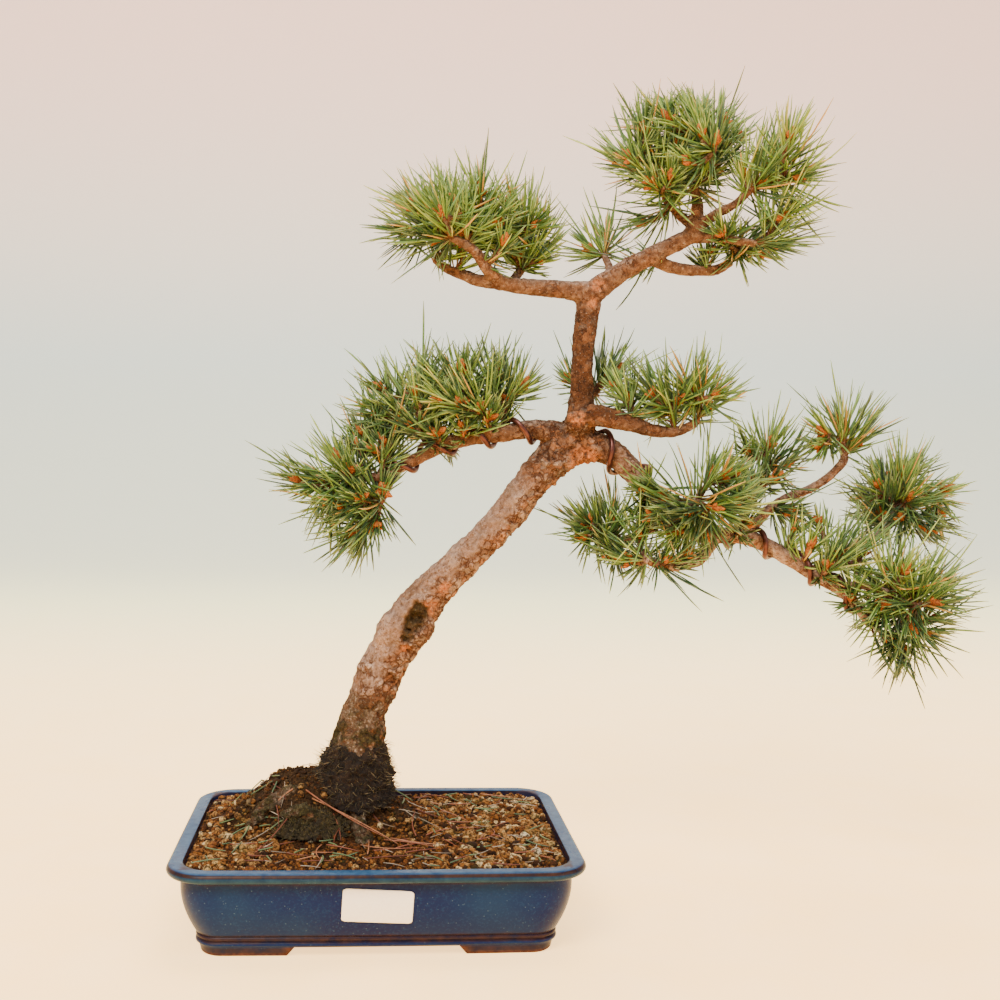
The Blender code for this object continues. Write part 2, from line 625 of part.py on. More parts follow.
def make_label():
    """The blank sticker on the pot's front, following the wall."""
    half_x = LABEL_WIDTH / 2
    half_z = LABEL_HEIGHT / 2
    rows = 12
    columns = 8
    bm = bmesh.new()
    sheets = []
    for depth in (GAP, GAP + LABEL_THICKNESS):
        sheet = []
        for j in range(rows + 1):
            z = half_z * (2 * j / rows - 1)
            past = max(0.0, abs(z) - (half_z - LABEL_CORNER))
            narrow = LABEL_CORNER - math.sqrt(max(0.0, LABEL_CORNER ** 2 - past ** 2))
            row = []
            for i in range(columns + 1):
                x = (half_x - narrow) * (2 * i / columns - 1)
                turned_x = x * math.cos(LABEL_TILT) - z * math.sin(LABEL_TILT)
                turned_z = LABEL_MIDDLE + x * math.sin(LABEL_TILT) + z * math.cos(LABEL_TILT)
                row.append(bm.verts.new((turned_x, front_wall(turned_x, turned_z) - depth, turned_z)))
            sheet.append(row)
        sheets.append(sheet)
    back, front = sheets
    for j in range(rows):
        for i in range(columns):
            bm.faces.new((front[j][i], front[j][i + 1], front[j + 1][i + 1], front[j + 1][i]))
            bm.faces.new((back[j][i], back[j + 1][i], back[j + 1][i + 1], back[j][i + 1]))
        bm.faces.new((front[j][0], front[j + 1][0], back[j + 1][0], back[j][0]))
        bm.faces.new((front[j + 1][-1], front[j][-1], back[j][-1], back[j + 1][-1]))
    for i in range(columns):
        bm.faces.new((front[0][i + 1], front[0][i], back[0][i], back[0][i + 1]))
        bm.faces.new((front[-1][i], front[-1][i + 1], back[-1][i + 1], back[-1][i]))
    return add_object("blank_label", bm, "label")


# ------------------------------------------------------------------------- drain screens
def make_screen(name, side):
    """A square of plastic mesh over a drain hole."""
    bm = bmesh.new()
    pitch = SCREEN_SIZE / SCREEN_CELLS
    verts = [
        [
            bm.verts.new((
                side * DRAIN_OFFSET - SCREEN_SIZE / 2 + i * pitch,
                -SCREEN_SIZE / 2 + j * pitch,
                FLOOR_TOP + GAP,
            ))
            for j in range(SCREEN_CELLS + 1)
        ]
        for i in range(SCREEN_CELLS + 1)
    ]
    for i in range(SCREEN_CELLS):
        for j in range(SCREEN_CELLS):
            if i % 2 == 0 or j % 2 == 0:
                bm.faces.new((verts[i][j], verts[i + 1][j], verts[i + 1][j + 1], verts[i][j + 1]))
    bottom = list(bm.faces)
    made = bmesh.ops.extrude_face_region(bm, geom=bottom)
    top = [part for part in made["geom"] if isinstance(part, bmesh.types.BMVert)]
    bmesh.ops.translate(bm, vec=(0, 0, SCREEN_THICKNESS), verts=top)
    bmesh.ops.recalc_face_normals(bm, faces=bm.faces)
    return add_object(name, bm, "screen", smooth=False)


def make_clip(name, side):
    """A wire staple over the screen, with its legs turned out under the pot."""
    middle = side * DRAIN_OFFSET
    top = FLOOR_TOP + 2 * GAP + SCREEN_THICKNESS + CLIP_RADIUS
    low = FOOT_HEIGHT - GAP - CLIP_RADIUS
    hole = SCREEN_SIZE / SCREEN_CELLS  # the legs pass the holes next to the middle strands
    half = [
        (0.0, top), (hole - CLIP_BEND, top), (hole, top - CLIP_BEND), (hole, low + CLIP_BEND),
        (hole + CLIP_BEND, low), (CLIP_REACH, low),
    ]
    route = [(middle - x, hole, z, CLIP_RADIUS) for x, z in reversed(half)]
    route += [(middle + x, hole, z, CLIP_RADIUS) for x, z in half[1:]]
    return add_object(name, tube([Vector(point) for point in route], 8), "clip")


# ----------------------------------------------------------------------------- the build
def stand_on_origin(pieces):
    """Moves the plant so that the middle of its box is over the origin."""
    graph = bpy.context.evaluated_depsgraph_get()
    corners = []
    for piece in pieces:
        shape = piece.evaluated_get(graph)
        corners += [shape.matrix_world @ Vector(corner) for corner in shape.bound_box]
    low = [min(corner[i] for corner in corners) for i in range(2)]
    high = [max(corner[i] for corner in corners) for i in range(2)]
    plant = bpy.data.objects.new("plant", None)
    bpy.context.scene.collection.objects.link(plant)
    for obj in bpy.data.objects:
        if obj is not plant:
            obj.parent = plant
    plant.location = (-(low[0] + high[0]) / 2, -(low[1] + high[1]) / 2, 0.0)
    return plant


def build():
    clear_scene()
    pot = make_pot()
    limb_room = as_cutter(make_tree("limb_room", CUT_GAP))
    wire_room = as_cutter(make_wire("wire_room", CUT_GAP))
    soil_room = as_cutter(soil_body("soil_room", MOSS_LIFT))

    soil = soil_body("soil", 0.0)
    combine(soil, limb_room)
    for side, word in SIDES:
        combine(soil, pocket(side, word))

    tree = make_tree("trunk_and_branches")
    combine(tree, wire_room)
    wire = make_wire("training_wire")
    pieces = [pot, soil, tree, wire, make_label(), make_moss_patch(), make_moss_collar()]
    for moss in pieces[-2:]:
        combine(moss, limb_room)
        combine(moss, soil_room)
    for name, lumps in PADS.items():
        pad = make_pad(name, lumps)
        combine(pad, limb_room)
        combine(pad, wire_room)
        pieces.append(pad)
    for side, word in SIDES:
        pieces.append(make_screen(f"drain_screen_{word}", side))
        pieces.append(make_clip(f"screen_clip_{word}", side))
    stand_on_origin(pieces)


build()
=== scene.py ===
"""The looks of a wired pine bonsai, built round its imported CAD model.

Lengths below are in millimetres in the pot's frame: origin under the middle of the pot, +X to
the right, +Y to the back, +Z up. Heights on the tree are counted from the soil level. Meshes
are moved to the frame's metres when they become objects.
"""

import math
import random
from itertools import product

import bmesh
import bpy
import numpy as np
from mathutils import Matrix, Vector, noise
from mathutils.bvhtree import BVHTree
from mathutils.kdtree import KDTree


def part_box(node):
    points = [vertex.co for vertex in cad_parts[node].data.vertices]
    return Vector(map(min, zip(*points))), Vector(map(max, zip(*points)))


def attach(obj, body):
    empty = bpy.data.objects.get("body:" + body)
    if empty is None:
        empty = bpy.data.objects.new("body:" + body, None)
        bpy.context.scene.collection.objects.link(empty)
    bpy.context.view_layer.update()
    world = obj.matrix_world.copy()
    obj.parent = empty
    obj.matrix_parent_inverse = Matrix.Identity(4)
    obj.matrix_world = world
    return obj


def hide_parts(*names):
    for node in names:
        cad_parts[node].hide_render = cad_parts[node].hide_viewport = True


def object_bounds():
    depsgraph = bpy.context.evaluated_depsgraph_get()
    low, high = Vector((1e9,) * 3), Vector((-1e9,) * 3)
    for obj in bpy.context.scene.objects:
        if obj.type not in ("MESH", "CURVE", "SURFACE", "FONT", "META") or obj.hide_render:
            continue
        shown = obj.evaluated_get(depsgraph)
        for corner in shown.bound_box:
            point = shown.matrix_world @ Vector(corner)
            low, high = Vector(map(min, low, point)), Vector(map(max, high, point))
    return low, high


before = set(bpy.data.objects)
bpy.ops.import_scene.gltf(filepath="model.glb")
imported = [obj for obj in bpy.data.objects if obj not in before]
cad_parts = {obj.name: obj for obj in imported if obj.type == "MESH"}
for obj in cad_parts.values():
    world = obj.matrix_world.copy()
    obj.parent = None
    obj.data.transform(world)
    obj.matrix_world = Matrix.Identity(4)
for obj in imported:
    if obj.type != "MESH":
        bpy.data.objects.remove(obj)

cad_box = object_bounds()
noise.seed_set(1)  # otherwise noise_vector takes its offsets from the clock

# ---------------------------------------------------------------------- sizes, mm
MM = 0.001  # metres in a millimetre
POT_LOW, POT_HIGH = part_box("pot")
POT_MIDDLE = ((POT_LOW.x + POT_HIGH.x) / 2, (POT_LOW.y + POT_HIGH.y) / 2)
POT_LENGTH = (POT_HIGH.x - POT_LOW.x) / MM
SIDE_BOW = 0.9
POT_WIDTH = (POT_HIGH.y - POT_LOW.y) / MM - 2 * SIDE_BOW
POT_HEIGHT = POT_HIGH.z / MM
POT_WALL = 5.0
POT_FLOOR = 6.0
RIM_CORNER = 24.0
CORNER_SHARPENING = 0.6
RIM_FLAT = 9.0
RIM_LIP = 6.0
RIM_OVERHANG = 7.6
BASE_INSET = 15.8
FOOT_INSET = 18.6
FOOT_HEIGHT = 5.5
FOOT_BAND = 12.0
FOOT_LENGTH = 50.0
FOOT_LENGTH_SIDE = 38.0
FOOT_SLANT = 4.5
DRAIN_RADIUS = 9.0
DRAIN_OFFSET = 62.0
LIP_LOW = POT_HEIGHT - RIM_LIP
FLARE_LOW = LIP_LOW - 2.0  # where the cavity starts to widen into the rim
FLOOR_TOP = FOOT_HEIGHT + POT_FLOOR
MOULDING_TOP = FOOT_HEIGHT + 7.0
CORNER_STEPS = 14
LONG_STEPS = 26
SHORT_STEPS = 18
PAST = 2.0  # how far a cutting shape goes past what it cuts
SOIL_LEVEL = POT_HEIGHT - 2.0
SOIL_BOTTOM = FOOT_HEIGHT + POT_FLOOR + 6.0
SOIL_GAP = 0.3  # between soil and pot
SOIL_RINGS = 70

MOUND_CENTRE = (-40.0, 14.0)
MOUND_HEIGHT = 34.0
MOUND_LEFT = 47.0
MOUND_RIGHT = 58.0
MOUND_FRONT = 30.0
MOUND_BACK = 33.0

LABEL_WIDTH = 40.0
LABEL_HEIGHT = 20.0
LABEL_CORNER = 2.0
LABEL_TILT = math.radians(-3.0)
LABEL_MIDDLE = 32.0

WIRE_RADIUS = 1.7
BARK_VOXEL = 1.05
LIMB_STEP = 3.0  # between the points of a limb's path
TRUNK_FOOT = (-17.0, 12.0)
FORK = (112, -2, SOIL_LEVEL + 240)
GRAINS = 7200
GRAIN_PIECES = 4
MOSS_VOXEL = 1.1

# The limbs' stations: x, y, height above the soil level, radius.
TRUNK = [
    (-18, 12, -12, 17), (-17, 12, 6, 23), (-16, 12, 20, 22.5), (-14, 12, 37, 19), (-12, 12, 53, 16.6),
    (-9, 12, 67, 14.6), (-5, 11, 79, 13.6), (1, 10, 95, 14.8), (9, 8, 111, 14.3),
    (18, 6, 126, 15.4), (27, 4, 141, 13.6), (39, 2, 155, 11.6), (56, 0, 172, 10.6),
    (75, -2, 192, 10.4), (93, -3, 216, 10.8), (105, -3, 230, 12.0), (118, -2, 241, 12.4),
]
LIMBS = {
    "leader": [
        (117, -2, 239, 11.4), (124, -1, 254, 10.2), (125, 0, 268, 8.0), (125, 0, 287, 7.0),
        (126, 0, 306, 7.0), (128, 0, 323, 7.6), (129, 0, 334, 8.2),
    ],
    "left_branch": [
        (117, -3, 244, 9.6), (105, -4, 249, 6.8), (92, -5, 250, 6.0), (79, -6, 248, 5.8),
        (62, -6, 246, 5.4), (49, -5, 243, 5.0), (37, -4, 239, 4.6), (26, -4, 233, 4.2),
        (16, -5, 228, 3.8), (7, -6, 223, 3.4), (-4, -6, 220, 3.0), (-18, -6, 219, 2.4),
    ],
    "left_droop": [(9, -7, 223, 3.2), (5, -11, 214, 2.8), (1, -12, 205, 2.4)],
    "left_up": [(34, -3, 238, 3.4), (25, 6, 248, 2.8), (16, 10, 259, 2.3)],
    "left_mid": [(58, -4, 245, 3.8), (55, 6, 257, 3.0), (51, 10, 268, 2.4)],
    "left_near": [(77, -4, 248, 3.8), (79, 8, 259, 3.0), (80, 14, 268, 2.4)],
    "right_branch": [
        (118, -2, 240, 11.6), (132, -2, 240, 9.8), (144, -4, 236, 8.4), (155, -7, 226, 7.4),
        (164, -9, 215, 6.6), (174, -8, 202, 6.2), (188, -5, 190, 5.8), (206, -2, 185, 5.6),
        (223, 0, 185, 5.2), (239, 0, 181, 5.0), (252, -1, 174, 4.8), (265, -2, 166, 4.6),
        (277, -3, 159, 4.4), (290, -4, 151, 4.0), (300, -5, 141, 3.4), (309, -6, 129, 2.8),
    ],
    "right_high": [
        (230, 1, 185, 4.0), (246, 10, 199, 3.3), (260, 14, 208, 3.1), (276, 15, 214, 3.0),
        (289, 14, 223, 3.0), (297, 13, 233, 2.8), (296, 13, 243, 2.4),
    ],
    "right_back": [
        (273, -1, 162, 3.8), (292, 12, 171, 3.2), (310, 20, 179, 3.0), (327, 24, 185, 2.8),
        (335, 26, 194, 2.5), (338, 27, 205, 2.2),
    ],
    "right_tip": [(288, -5, 152, 3.6), (300, -12, 155, 3.0), (315, -16, 151, 2.5), (330, -18, 144, 2.1)],
    "right_under": [
        (210, -2, 185, 4.6), (199, -14, 173, 3.8), (186, -22, 168, 3.4), (172, -27, 168, 3.0),
        (160, -32, 172, 2.5),
    ],
    "right_inner": [(186, -6, 192, 4.0), (189, -20, 201, 3.0), (191, -30, 209, 2.4)],
    "right_left": [(180, -6, 196, 3.8), (168, 0, 188, 3.0), (155, 6, 182, 2.6), (142, 10, 180, 2.2)],
    "right_up": [(224, 0, 186, 3.8), (233, 9, 201, 3.0), (242, 14, 216, 2.6), (249, 16, 229, 2.2)],
    "upper_left": [
        (131, 0, 334, 8.4), (118, -1, 336, 6.2), (101, -2, 337, 5.4), (85, -3, 338, 5.0),
        (72, -4, 340, 4.6), (60, -3, 341, 4.0), (50, 0, 345, 3.6), (41, 4, 349, 3.0),
        (33, 8, 355, 2.4),
    ],
    "upper_left_front": [
        (74, -4, 340, 4.2), (64, -12, 347, 3.8), (58, -16, 355, 3.4), (51, -18, 360, 3.0),
        (42, -20, 364, 2.5),
    ],
    "upper_left_back": [(80, -2, 339, 3.6), (88, 10, 350, 2.7), (98, 18, 357, 2.2)],
    "apex": [
        (128, 0, 333, 8.6), (143, 0, 344, 6.6), (157, -1, 353, 6.0), (170, -1, 360, 5.6),
        (182, -1, 366, 5.4), (191, -1, 371, 5.2), (195, -1, 380, 4.4), (196, 0, 390, 3.5),
        (194, 2, 402, 2.8),
    ],
    "apex_low": [
        (166, 1, 358, 4.8), (180, 6, 353, 4.1), (195, 8, 351, 3.8), (211, 10, 352, 3.4),
        (221, 12, 357, 2.8),
    ],
    "apex_side": [(191, -1, 370, 4.2), (208, -8, 369, 3.2), (219, -12, 366, 2.8), (227, -15, 365, 2.4)],
    "apex_right": [(194, -2, 375, 4.0), (205, -8, 383, 3.1), (215, -14, 388, 2.7), (223, -20, 396, 2.4)],
    "apex_left": [(194, 1, 377, 3.6), (185, 6, 386, 2.8), (177, 8, 395, 2.3)],
    "fork_shoot": [(143, 2, 344, 3.8), (144, 15, 354, 2.8), (143, 26, 362, 2.2)],
    "middle_right": [
        (123, -4, 255, 8.6), (129, -12, 259, 7.2), (141, -17, 257, 6.4), (152, -19, 254, 5.4),
        (161, -20, 251, 4.4), (171, -20, 249, 3.7), (182, -20, 250, 3.2), (192, -21, 255, 2.6),
    ],
    "leader_shoot": [(126, 3, 270, 3.8), (136, 12, 275, 2.8), (142, 14, 283, 2.3)],
    "cut_stub": [(120, -6, 250, 7.5), (120, -13, 255, 7.0), (120, -17, 257, 6.6)],
}
ROOTS = {
    "root_left": [
        (-20, 11, 14, 10), (-42, 4, 22, 6.8), (-60, -3, 21, 5.0), (-73, -10, 11, 4.0),
        (-80, -16, -1, 2.8),
    ],
    "root_front": [(-16, 8, 8, 10), (-13, -12, 9, 6.4), (-8, -26, -1, 4.6), (0, -40, -11, 3.0)],
    "root_right": [(-12, 12, 4, 10), (14, 8, 4, 6.4), (36, 4, -6, 4.4), (56, 2, -14, 3.0)],
    "root_back": [(-18, 16, 6, 10), (-20, 32, 4, 6.0), (-24, 44, -10, 3.6)],
    "root_left_back": [(-22, 14, 10, 10), (-48, 22, 16, 6.0), (-66, 30, 4, 4.4), (-78, 36, -8, 3.0)],
    "root_knuckle": [(-58, -13, 12, 2.5), (-51, -16, 15, 4.0), (-44, -17, 15, 4.2), (-38, -17, 11, 2.5)],
}

# Marks on the bark: x, y, height above the soil level, reach, depth, and what it is.
BARK_MARKS = [
    (25, -9, 137, 6.5, 3.0, "hollow"), (22, -9, 130, 7.0, 3.6, "hollow"), (18, -8, 122, 4.5, 1.8, "hollow"),
    (4, -2, 127, 13, -2.4, "flake"), (33, -5, 122, 9, -3.0, "flake"), (10, -10, 108, 9, -1.2, "flake"),
    (32, -8, 141, 7, 0.2, "peach"), (17, -7, 113, 6, 1.6, "peach"), (10, -9, 88, 6, 1.8, "peach"),
    (40, -8, 152, 6, 0.3, "peach"), (120, -18, 257, 7, -0.3, "peach"),
    (133, -7, 339, 6, 1.0, "peach"), (130, -8, 328, 5, 0.6, "peach"), (125, -10, 231, 13, -0.8, "peach"),
    (-14, -3, 96, 6, -0.8, "flake"), (106, -12, 246, 8, -1.4, "flake"), (124, -14, 238, 8, 2.0, "flake"),
]

# The shoots whose buds stand out, for each cushion of needles: x, y, height above the soil.
LEADING_SHOOTS = {
    "needles_upper_left": [
        (14, -6, 370), (27, 4, 382), (40, 2, 393), (44, -20, 384), (56, 12, 392), (67, -18, 373),
        (73, -20, 360), (90, 14, 378), (97, 4, 355),
    ],
    "needles_apex": [
        (160, -10, 432), (152, -8, 416), (164, -14, 400), (178, 6, 446), (191, -24, 426),
        (200, -22, 422), (207, -10, 436), (183, -28, 410), (172, -26, 400), (221, 6, 433),
        (168, 14, 382),
    ],
    "needles_apex_right": [
        (227, -24, 398), (234, -18, 408), (243, -6, 422), (242, -22, 380), (237, -12, 364),
        (208, -14, 370), (226, 8, 366), (214, 2, 368), (236, 4, 362), (205, 8, 362), (218, -20, 404),
    ],
    "needles_behind_fork": [(135, 28, 366), (146, 34, 374), (163, 20, 354)],
    "needles_middle_left": [
        (0, -2, 258), (22, -16, 270), (37, -22, 266), (49, -26, 264), (60, -20, 261), (51, 14, 282),
        (78, -4, 268), (3, -8, 240), (43, 6, 240), (20, -16, 250), (34, -20, 246), (50, -16, 250),
        (-10, 2, 246), (26, 10, 284), (66, -14, 256), (-14, -2, 238), (-2, -14, 236),
    ],
    "needles_left_droop": [(-33, -6, 217), (-22, 8, 231), (1, -14, 211), (-7, -8, 197), (-14, -14, 186)],
    "needles_middle_right": [
        (165, -24, 271), (178, -26, 266), (192, -18, 274), (200, -14, 264), (152, -14, 268), (146, -6, 276),
    ],
    "needles_by_leader": [(141, 14, 283), (150, 20, 288), (122, 22, 282), (134, 18, 274)],
    "needles_right_inner": [
        (173, -30, 209), (184, -42, 201), (197, -42, 204), (209, -40, 207), (215, -24, 222),
        (226, -16, 205), (229, -10, 218), (224, -18, 192), (160, -22, 214), (206, -30, 222),
        (180, -34, 190), (196, -34, 190), (164, -26, 198), (218, -30, 208), (200, -22, 222),
    ],
    "needles_right_low": [
        (132, 2, 192), (128, -6, 184), (139, 6, 184), (148, 10, 192), (166, -10, 198),
        (152, -24, 170), (170, -38, 172), (158, -20, 184), (182, -36, 176), (144, -10, 174),
    ],
    "needles_right_upper": [(233, 8, 236), (249, 16, 241), (258, 8, 230), (246, -4, 221), (258, 8, 200)],
    "needles_right_tuft": [(283, 8, 250), (296, 14, 256), (304, 14, 243), (279, 4, 242)],
    "needles_right_back": [(324, 22, 215), (342, 28, 222), (341, 16, 208), (356, 22, 188), (337, 14, 196)],
    "needles_right_tip": [
        (281, 12, 192), (268, -8, 178), (262, 4, 188), (276, -14, 166), (288, -8, 172),
        (303, -4, 174), (318, -10, 162), (294, -10, 146), (308, -22, 145), (330, -18, 152),
        (346, -10, 134), (315, -14, 124), (326, -14, 118), (338, -18, 126),
    ],
}
STRAY_SHARE = 0.055  # of the needles, which stand out of their cushion at full length
SHOOT_SPACING = 14.0  # between the tips of neighbouring shoots
SHOOT_VOLUME = 7600.0  # of a cushion, to one shoot, in cubic mm
SWEEP_DEPTH = 3.0  # from the plant back to the studio's wall, in metres
NEEDLE_LENGTH = 37.0
NEEDLE_WIDTH = 1.25
NEEDLE_PAIRS = 24  # on one shoot


# ---------------------------------------------------------------------- mesh helpers
def to_frame(points):
    """Points in the pot's millimetres, as the frame's metres."""
    placed = np.asarray(points, float).reshape(-1, 3) * MM
    placed[:, 0] += POT_MIDDLE[0]
    placed[:, 1] += POT_MIDDLE[1]
    return placed


def from_frame(points):
    """The frame's metres, as the pot's millimetres."""
    placed = np.asarray(points, float).reshape(-1, 3).copy()
    placed[:, 0] -= POT_MIDDLE[0]
    placed[:, 1] -= POT_MIDDLE[1]
    return placed / MM


def link_mesh(name, mesh, finish=None):
    obj = bpy.data.objects.new(name, mesh)
    bpy.context.scene.collection.objects.link(obj)
    if finish:
        mesh.materials.append(finish)
    mesh.shade_smooth()
    return obj


def mesh_piece(name, points, faces, finish=None):
    """An object from points in millimetres and faces."""
    mesh = bpy.data.meshes.new(name)
    mesh.from_pydata(to_frame(points).tolist(), [], [tuple(map(int, face)) for face in faces])
    mesh.update()
    return link_mesh(name, mesh, finish)


def belongs(piece, slot, *nodes):
    """Rides the piece on the one body and hides the CAD nodes that it stands for; slot, the name of its
    finish, is not used.
    """
    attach(piece, "root")
    if nodes:
        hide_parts(*nodes)


def apply_modifiers(obj):
    graph = bpy.context.evaluated_depsgraph_get()
    shape = bpy.data.meshes.new_from_object(obj.evaluated_get(graph))
    obj.modifiers.clear()
    old = obj.data
    obj.data = shape
    bpy.data.meshes.remove(old)


def vertex_places(mesh):
    places = np.empty(len(mesh.vertices) * 3)
    mesh.vertices.foreach_get("co", places)
    return places.reshape(-1, 3)


def vertex_normals(mesh):
    normals = np.empty(len(mesh.vertices) * 3)
    mesh.vertex_normals.foreach_get("vector", normals)
    return normals.reshape(-1, 3)


def set_places(mesh, places):
    mesh.vertices.foreach_set("co", np.ascontiguousarray(places, np.float32).ravel())
    mesh.update()


def set_attributes(mesh, **attributes):
    """Numbers for each vertex, which the materials read by name."""
    for name, values in attributes.items():
        layer = mesh.attributes.new(name, "FLOAT", "POINT")
        layer.data.foreach_set("value", np.ascontiguousarray(values, np.float32))


def scatter_vector(chance, amount=1.0):
    """A random vector, each part normally spread."""
    return amount * Vector((chance.gauss(0, 1), chance.gauss(0, 1), chance.gauss(0, 1)))


def search_tree(places):
    tree = KDTree(len(places))
    for i, place in enumerate(places):
        tree.insert(place, i)
    tree.balance()
    return tree


def fade(value, low, high):
    """0 below low, 1 above high, smooth between."""
    t = np.clip((value - low) / (high - low), 0.0, 1.0)
    return t * t * (3 - 2 * t)


def stripe(value, low, high, soft):
    """1 between low and high, and 0 further away than soft."""
    return fade(value, low - soft, low) * fade(-value, -high - soft, -high)


def rough_noise(places, size, octaves=3, seed=0.0):
    """Fractal noise at each place in mm, about -1 to 1."""
    shift = Vector((seed * 17.3, seed * 5.1, seed * 9.7))
    return np.array([
        noise.fractal(Vector(p) / size + shift, 1.0, 2.0, octaves) for p in places
    ])


def smooth_path(stations, step):
    """A Catmull-Rom curve through the stations, as points with a radius."""
    points = [Vector(s) for s in stations]
    points = [2 * points[0] - points[1]] + points + [2 * points[-1] - points[-2]]
    path = []
    for i in range(1, len(points) - 2):
        before, start, end, after = points[i - 1:i + 3]
        steps = max(1, round((end - start).to_3d().length / step))
        for k in range(steps):
            t = k / steps
            path.append(0.5 * (
                2 * start + (end - before) * t
                + (2 * before - 5 * start + 4 * end - after) * t * t
                + (3 * start - before - 3 * end + after) * t ** 3
            ))
    path.append(points[-2])
    return path


def ring_faces(rings, count, start=0):
    """The faces between rings of points, from the point numbered start."""
    faces = []
    for low in range(start, start + (rings - 1) * count, count):
        for i in range(count):
            after = (i + 1) % count
            faces.append((low + i, low + after, low + after + count, low + i + count))
    return faces


def end_caps(rings, count, start=0):
    """The faces that close the first and the last ring."""
    last = start + (rings - 1) * count
    return [tuple(reversed(range(start, start + count))), tuple(range(last, last + count))]


def tangents(centres):
    last = len(centres) - 1
    return [
        (centres[min(i + 1, last)] - centres[max(i - 1, 0)]).normalized()
        for i in range(len(centres))
    ]


def tube(path, sides, tip=0.5):
    """The points and faces of a closed tapered tube along points that carry a radius."""
    centres = [Vector(point[:3]) for point in path]
    radii = [point[3] for point in path]
    along = tangents(centres)
    side = along[0].orthogonal().normalized()
    points = []
    for centre, radius, tangent in zip(centres, radii, along):
        side = (side - tangent * side.dot(tangent)).normalized()
        other = tangent.cross(side)
        points += [
            centre + radius * (side * math.cos(a) + other * math.sin(a))
            for a in (math.tau * k / sides for k in range(sides))
        ]
    faces = ring_faces(len(centres), sides)
    points.append(centres[0] - along[0] * radii[0] * tip)
    points.append(centres[-1] + along[-1] * radii[-1] * tip)
    last = (len(centres) - 1) * sides
    for k in range(sides):
        faces.append(((k + 1) % sides, k, len(points) - 2))
        faces.append((last + k, last + (k + 1) % sides, len(points) - 1))
    return points, faces


def join_parts(parts):
    """Several (points, faces) pairs as one."""
    points, faces = [], []
    for part_points, part_faces in parts:
        start = len(points)
        points += part_points
        faces += [tuple(start + i for i in face) for face in part_faces]
    return points, faces


def lifted(stations):
    return [(x, y, SOIL_LEVEL + z, r) for x, y, z, r in stations]


# ---------------------------------------------------------------------- material helper
SOCKETS = {"specular_ior_level": "Specular IOR Level", "coat_weight": "Coat Weight"}


